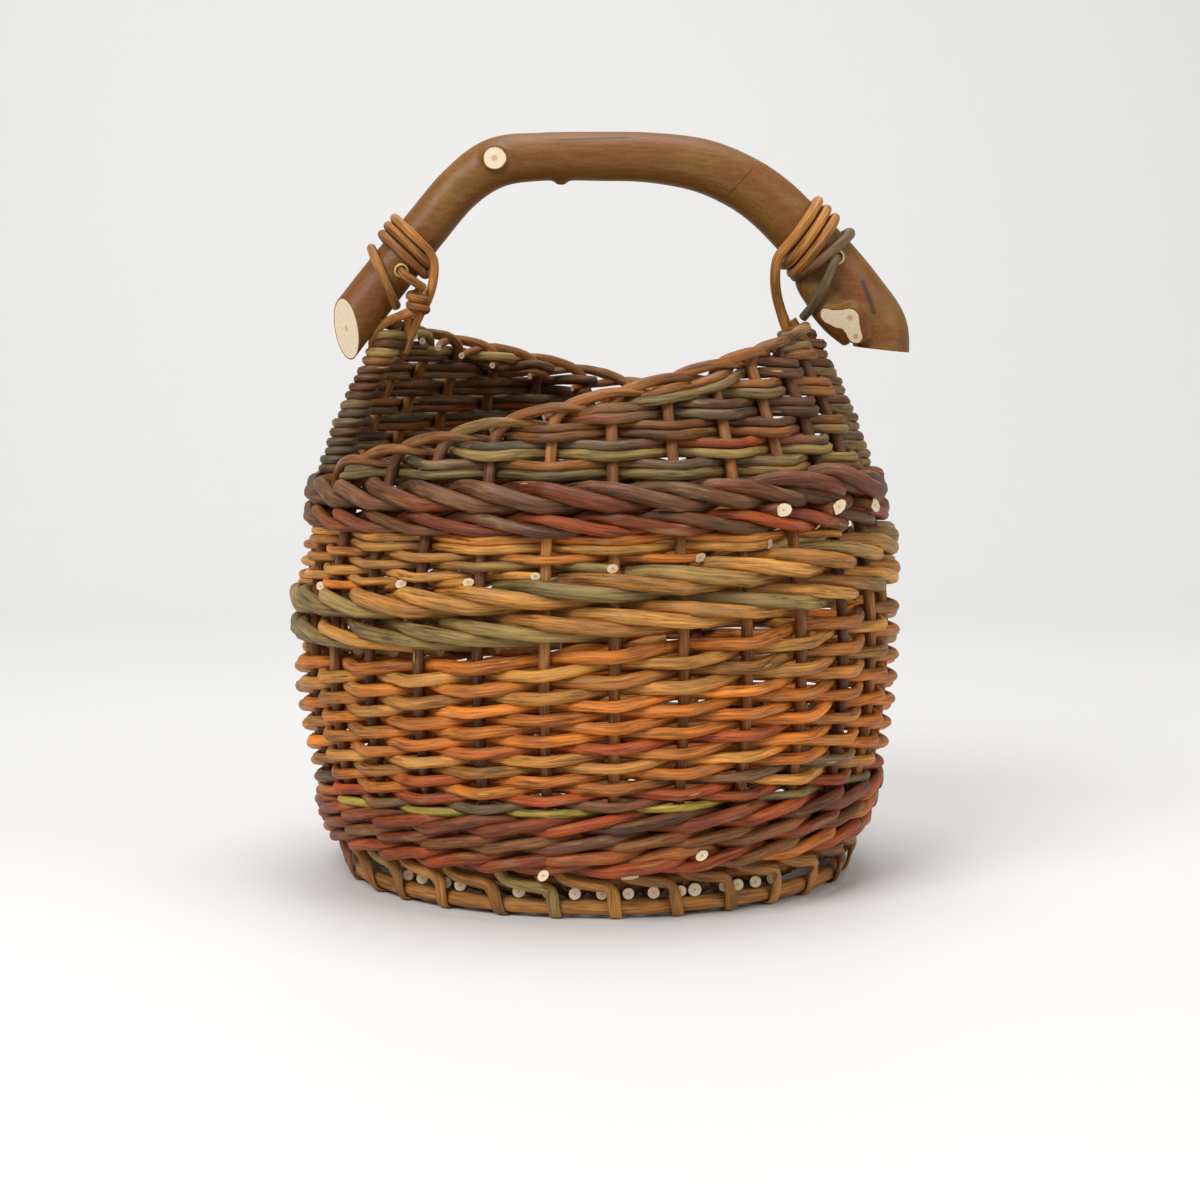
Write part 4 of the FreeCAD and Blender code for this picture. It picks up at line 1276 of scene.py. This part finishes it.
def branch_material():
    """Smooth brown bark with warm and green patches and a few cracks on the front."""
    n, shader = material("handle_bark")
    at = n.new("ShaderNodeTexCoord").outputs["Object"]
    fibre = n.noise(n.stretch(at, (90.0, 900.0, 500.0)), 2.0, 4.0, 0.6)
    fine = n.noise(n.stretch(at, (800.0, 800.0, 800.0)), 5.0, 3.0)
    patch = n.noise(n.stretch(at, (34.0, 60.0, 44.0)), 7.0, 4.0)
    moss = n.noise(n.stretch(at, (24.0, 60.0, 50.0)), 9.0, 3.0)
    body = n.mix(n.band(patch, 0.40, 0.62), rgba(colour("branch")), rgba(colour("branch_warm")))
    body = n.mix(n.math("MULTIPLY", n.band(moss, 0.46, 0.62), 0.7), body, rgba(colour("branch_green")))
    shade = n.math("ADD", n.band(fibre, 0.3, 0.7, 0.80, 1.16), n.band(fine, 0.35, 0.7, -0.10, 0.10))
    shade = n.math("ADD", shade, n.band(patch, 0.35, 0.65, 0.10, -0.08))
    body = n.shaded(body, shade)
    front = n.new("ShaderNodeSeparateXYZ")
    n.link(at, front.inputs[0])
    front = n.band(front.outputs["Y"], -0.004, 0.0, 1.0, 0.0)
    fray = n.math("SUBTRACT", fine, 0.5)
    depth = 0.0
    for a, b, wide in CRACKS:
        ragged = n.math("ADD", from_line(n, at, a, b), n.math("MULTIPLY", fray, wide * 1.6))
        depth = n.math("ADD", depth, n.band(ragged, 0.5 * wide, 1.6 * wide, 1.0, 0.0), True)
    crack = n.math("MULTIPLY", depth, front)
    body = n.mix(n.math("MULTIPLY", crack, 0.75), body, rgba(CRACK))
    n.link(body, shader.inputs["Base Color"])
    n.link(n.band(fibre, 0.2, 0.8, 0.38, 0.56), shader.inputs["Roughness"])
    shader.inputs["Specular IOR Level"].default_value = 0.4
    height = n.math("ADD", fibre, n.math("MULTIPLY", fine, 0.4))
    bump(n, shader, n.math("SUBTRACT", height, crack), 0.3, 0.0004)


def sawn_material():
    """Sawn faces of the branch, with rings round the middle of each."""
    n, shader = material("sawn_wood")
    at = n.new("ShaderNodeTexCoord").outputs["Object"]
    nearest = 1.0
    middles = [on_handle(*KNOT, KNOT_FRONT), on_handle(*SAWN_END), *(spot for spot, _ in STUB[:2])]
    for middle in middles:
        nearest = n.math("MINIMUM", nearest, n.vector("DISTANCE", at, tuple(middle), "Value"))
    finish_cut(n, shader, nearest, at, 0.0017, 5200.0, 0.7, 0.0003)


def leg(side):
    """Top of the branch's leg on one side, the directions down it and to its inner side, and its radius."""
    high, low, share = LEGS[side]
    high, low = on_handle(*high), on_handle(*low)
    down = (low - high) / np.linalg.norm(low - high)
    return high, down, np.array([-down[2], 0, down[0]]) * -side, rods().branch * share


# The lashings: gap to the branch, spacing of their samples, way of the hinge from the middle, and how far
# below and over the hinge line they pass from the basket to the handle
LASH_GAP, LASH_SPACING, HINGE_X, BLEND_BELOW, BLEND_OVER = 0.0002, 0.002, 0.0999, 0.006, 0.012
LEFT_PEG, RIGHT_PEG, TURNS = 0.0046, 0.0048, 3
# Routes of the withies: the tails that come up out of the wall, the left knot, the pegs' links and a post
LEFT_TAIL = (
    (-0.1000, 0.0, 0.2700), (-0.0960, 0.0, 0.2800), (-0.0920, -0.004, 0.2890), (-0.0878, -0.007, 0.2968),
    (-0.0852, -0.0088, 0.3045), (-0.0841, -0.0098, 0.3120), (-0.0845, -0.0106, 0.3180),
)
RIGHT_TAIL = (
    (0.1005, 0.0, 0.2750), (0.0985, 0.0, 0.2830), (0.0955, -0.001, 0.2915), (0.0932, -0.004, 0.2985),
    (0.0918, -0.007, 0.3060), (0.0917, -0.0095, 0.3135), (0.0932, -0.0120, 0.3200),
)
LEFT_KNOT = (
    (-0.0925, -0.008, 0.2920), (-0.0955, -0.0105, 0.2912), (-0.0985, -0.0100, 0.2905),
    (-0.1033, -0.008, 0.2885), (-0.1085, -0.005, 0.2862), (-0.1122, -0.003, 0.2836),
    (-0.1150, 0.0, 0.2790), (-0.1158, 0.001, 0.2745), (-0.1150, 0.0, 0.2695), (-0.1090, 0.0, 0.2665),
)
LEFT_LINK = (
    (-0.1005, 0.012, 0.3122), (-0.1005, -0.012, 0.3122), (-0.0995, -0.0165, 0.3105),
    (-0.0945, -0.0160, 0.3070), (-0.0895, -0.0130, 0.3035),
)
LEFT_POST = (
    (-0.0915, -0.009, 0.3035), (-0.0935, -0.0085, 0.2980), (-0.0965, -0.006, 0.2920),
    (-0.0980, -0.002, 0.2850), (-0.0985, 0.0, 0.2780),
)
RIGHT_LINK = (
    (0.1225, 0.014, 0.3190), (0.1225, -0.0145, 0.3190), (0.1210, -0.0186, 0.3165),
    (0.1170, -0.0180, 0.3070), (0.1125, -0.0120, 0.2965), (0.1070, -0.0030, 0.2880),
)
# The left peg's coil: top of its middle, half widths along and across, drop by radian, and end in half turns
COIL_TOP, COIL_WIDE, COIL_DEEP, COIL_DROP, COIL_END = (-0.0925, -0.0090, 0.3020), 0.0040, 0.0058, 0.00075, 4.2
# Drilled holes: middle, facing and radius of the pale edge
LEFT_HOLE = (-0.1008, -0.0122, 0.3124), (0.1, -1, -0.1), 0.0032
RIGHT_HOLE = (0.1228, -0.0146, 0.3193), (0.1, -1, 0.1), 0.0034
HOLE_EDGE_RADIUS = 0.0006


def loop(side, rod, angle, climb):
    """A rod on the branch's leg, by its turn from the back over the inner side, and its way down the leg."""
    high, down, inner, radius = leg(side)
    round_it = np.outer(np.cos(angle), (0.0, 1.0, 0.0)) + np.outer(np.sin(angle), inner)
    return high + np.outer(climb, down) + (radius + LASH_GAP + rod / 2) * round_it


def wraps(side, rod, drop, gap, lean, tail, joins):
    """A rod that comes up a tail, joins the first turn at one of its samples and is wound round the leg."""
    angle = np.radians(np.linspace(80, 20 + 360 * TURNS, 30 * TURNS))
    climb = drop + (rod + gap) * (angle - angle[0]) / (2 * math.pi) + lean * np.sin(angle)
    wound = loop(side, rod, angle, climb)
    return np.vstack([withy([*tail, wound[joins]])[:-1], wound[joins:]])


def hairpin(side, rod, first, last, samples, drop, lean):
    """A rod bent over the leg from one angle to another, in degrees."""
    angle = np.radians(np.linspace(first, last, samples))
    return loop(side, rod, angle, drop + lean * np.sin(angle))


def withy(route):
    """A withy's smooth line along its route."""
    return spline(route, LASH_SPACING)


def coil():
    """A turn or two of the left peg round its own post."""
    x, y, z = COIL_TOP
    angle = np.linspace(0, COIL_END * math.pi, 44)
    wide, deep = COIL_WIDE * np.cos(angle), COIL_DEEP * np.sin(angle)
    return np.column_stack([x + wide, y + deep, z - COIL_DROP * angle])


def rim(at, facing, radius):
    """The pale edge of a drilled hole, as a thin ring."""
    facing = np.array(facing) / np.linalg.norm(facing)
    across = np.cross(facing, (0.0, 1.0, 0.2))
    across /= np.linalg.norm(across)
    angle = np.linspace(0, 2 * math.pi, 25)
    ring = np.outer(np.cos(angle), across) + np.outer(np.sin(angle), np.cross(facing, across))
    return Rod(np.array(at) + radius * ring, HOLE_EDGE_RADIUS, HOLE_EDGE, 0.3)


class BASKET_OT_lashings(bpy.types.Operator):
    """Winds the lashings that tie the branch to the two peaks"""

    bl_idname = "basket.lashings"
    bl_label = "Lashings"

    def execute(self, context):
        rng = np.random.default_rng(LASH_SEED)
        left, right = rods().lash_left, rods().lash_right
        left_wraps = wraps(-1, left, 0.0054, 0.0004, 0.0025, LEFT_TAIL, 6)
        left_hairpin = hairpin(-1, left, 120, 420, 30, 0.0334, 0.0083)
        right_wraps = wraps(1, right, 0.0164, 0.0008, 0.0038, RIGHT_TAIL, 7)
        right_hairpin = hairpin(1, right, 80, 330, 28, 0.0372, -0.0020)
        left_peg = [withy(LEFT_LINK), coil(), withy(LEFT_POST), rim(*LEFT_HOLE)]
        right_peg = [withy(RIGHT_LINK), rim(*RIGHT_HOLE)]
        for node, side, thick, mix, slot, lines in (
            ("left_wraps", -1, left, "lash", "lash_rod", [left_wraps]),
            ("left_hairpin", -1, left, "lash", "lash_rod", [left_hairpin, withy(LEFT_KNOT)]),
            ("left_peg", -1, LEFT_PEG, "lash", "lash_rod", left_peg),
            ("right_wraps", 1, right, "lash", "lash_rod", [right_wraps]),
            ("right_hairpin", 1, right, "lash_dark", "dark_rod", [right_hairpin]),
            ("right_peg", 1, RIGHT_PEG, "lash_dark", "dark_rod", right_peg),
        ):
            self.tie(rng, node, side, thick, MIXES[mix], slot, lines)
        return {"FINISHED"}

    def tie(self, rng, node, side, thick, mix, slot, lines):
        """Builds one withy of a lashing from its lines, gives it its materials and hides its CAD node."""
        made = []
        for line in lines:
            if not isinstance(line, Rod):
                line = Rod(line, thick / 2, bark(rng, mix, len(line), 60), rng.random())
            made.append(line)
        obj = rod_object("withy_" + node, made, THICK_SIDES)
        for name in ("lash_bark", "cut_wood"):
            obj.data.materials.append(bpy.data.materials[name])
        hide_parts(node)
        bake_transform(obj)


# The stage: floor's front, start and radius of its bend, top and half width; place that the lights face
FLOOR_FRONT, FLOOR_BEND, BEND_RADIUS, BACK_TOP, FLOOR_HALF = -2.2, 1.0, 0.8, 3.5, 4.0
WORLD_STRENGTH, LIT_PLACE = 0.24, (0, 0, 0.17)
# Lights: name, place, size and power
LIGHTS = (
    ("key", (-1.2, -1.6, 2.0), 1.3, 54.0),
    ("fill", (1.9, -1.3, 1.2), 1.4, 17.0),
    ("top", (0.1, 0.2, 2.5), 1.6, 37.0),
)
# Camera: swing and pitch in degrees, distance, height, sideways shift, and sensor and lens in millimetres
SWING, PITCH, CAMERA_AWAY, CAMERA_HEIGHT, CAMERA_SHIFT = -3.2, 7.03, 1.56, 0.333, 0.0025
SENSOR, LENS = 36.0, 90.0


class BASKET_OT_stage(bpy.types.Operator):
    """Sets the floor, the backdrop, the soft lights and the camera"""

    bl_idname = "basket.stage"
    bl_label = "Stage"

    def execute(self, context):
        scene = context.scene
        self.floor(scene)
        self.light(scene)
        self.view(scene)
        return {"FINISHED"}

    def floor(self, scene):
        """A floor that bends up into the backdrop."""
        _, shader = material("pale_floor")
        shader.inputs["Base Color"].default_value = rgba(colour("ground"))
        shader.inputs["Roughness"].default_value = 0.6
        bend = np.linspace(0, math.pi / 2, 24)[1:]
        profile = [(FLOOR_FRONT, 0.0), (FLOOR_BEND, 0.0)]
        profile += [
            (FLOOR_BEND + BEND_RADIUS * math.sin(a), BEND_RADIUS - BEND_RADIUS * math.cos(a)) for a in bend
        ]
        profile += [(FLOOR_BEND + BEND_RADIUS, BACK_TOP)]
        bm = bmesh.new()
        left, right = ([bm.verts.new((x, y, z)) for y, z in profile] for x in (-FLOOR_HALF, FLOOR_HALF))
        for k in range(len(profile) - 1):
            bm.faces.new((left[k], right[k], right[k + 1], left[k + 1])).smooth = True
        mesh = bpy.data.meshes.new("floor_sweep")
        bm.to_mesh(mesh)
        bm.free()
        floor = bpy.data.objects.new("floor_sweep", mesh)
        floor.data.materials.append(bpy.data.materials["pale_floor"])
        scene.collection.objects.link(floor)

    def light(self, scene):
        """White surroundings and three soft lights."""
        world = bpy.data.worlds.new("studio")
        world.use_nodes = True
        world.node_tree.nodes["Background"].inputs["Color"].default_value = (1, 1, 1, 1)
        world.node_tree.nodes["Background"].inputs["Strength"].default_value = WORLD_STRENGTH
        scene.world = world
        for name, at, size, power in LIGHTS:
            lamp = bpy.data.lights.new(name, "AREA")
            lamp.size, lamp.energy = size, power
            holder = bpy.data.objects.new(name, lamp)
            holder.location = at
            holder.rotation_euler = (Vector(LIT_PLACE) - Vector(at)).to_track_quat("-Z", "Y").to_euler()
            scene.collection.objects.link(holder)

    def view(self, scene):
        """The camera, where the photograph was taken from."""
        swing, pitch = math.radians(SWING), math.radians(PITCH)
        camera = bpy.data.objects.new("camera", bpy.data.cameras.new("camera"))
        camera.data.sensor_width, camera.data.lens = SENSOR, LENS
        camera.data.shift_x = CAMERA_SHIFT
        camera.location = (math.sin(swing) * CAMERA_AWAY, -math.cos(swing) * CAMERA_AWAY, CAMERA_HEIGHT)
        camera.rotation_euler = (math.pi / 2 - pitch, 0, swing)
        scene.collection.objects.link(camera)
        scene.camera = camera
        scene.view_settings.view_transform = "Standard"


STEPS = (
    BASKET_OT_finishes, BASKET_OT_stakes, BASKET_OT_bands, BASKET_OT_base, BASKET_OT_handle,
    BASKET_OT_lashings, BASKET_OT_stage,
)


class BASKET_PT_panel(bpy.types.Panel):
    """Lists the basket's pieces in the order they are made."""

    bl_idname = "BASKET_PT_panel"
    bl_label = "Willow basket"
    bl_space_type = "VIEW_3D"
    bl_region_type = "UI"
    bl_category = "Basket"

    def draw(self, context):
        for step in STEPS:
            self.layout.operator(step.bl_idname)


CLASSES = (BASKET_PG_rods, BASKET_PG_colours, *STEPS, BASKET_PT_panel)


def register():
    for cls in CLASSES:
        bpy.utils.register_class(cls)
    bpy.types.Scene.basket_rods = PointerProperty(type=BASKET_PG_rods)
    bpy.types.Scene.basket_colours = PointerProperty(type=BASKET_PG_colours)


def unregister():
    del bpy.types.Scene.basket_colours
    del bpy.types.Scene.basket_rods
    for cls in reversed(CLASSES):
        bpy.utils.unregister_class(cls)


def main():
    register()
    for step in STEPS:
        area, name = step.bl_idname.split(".")
        getattr(getattr(bpy.ops, area), name)()


if __name__ == "__main__":
    main()
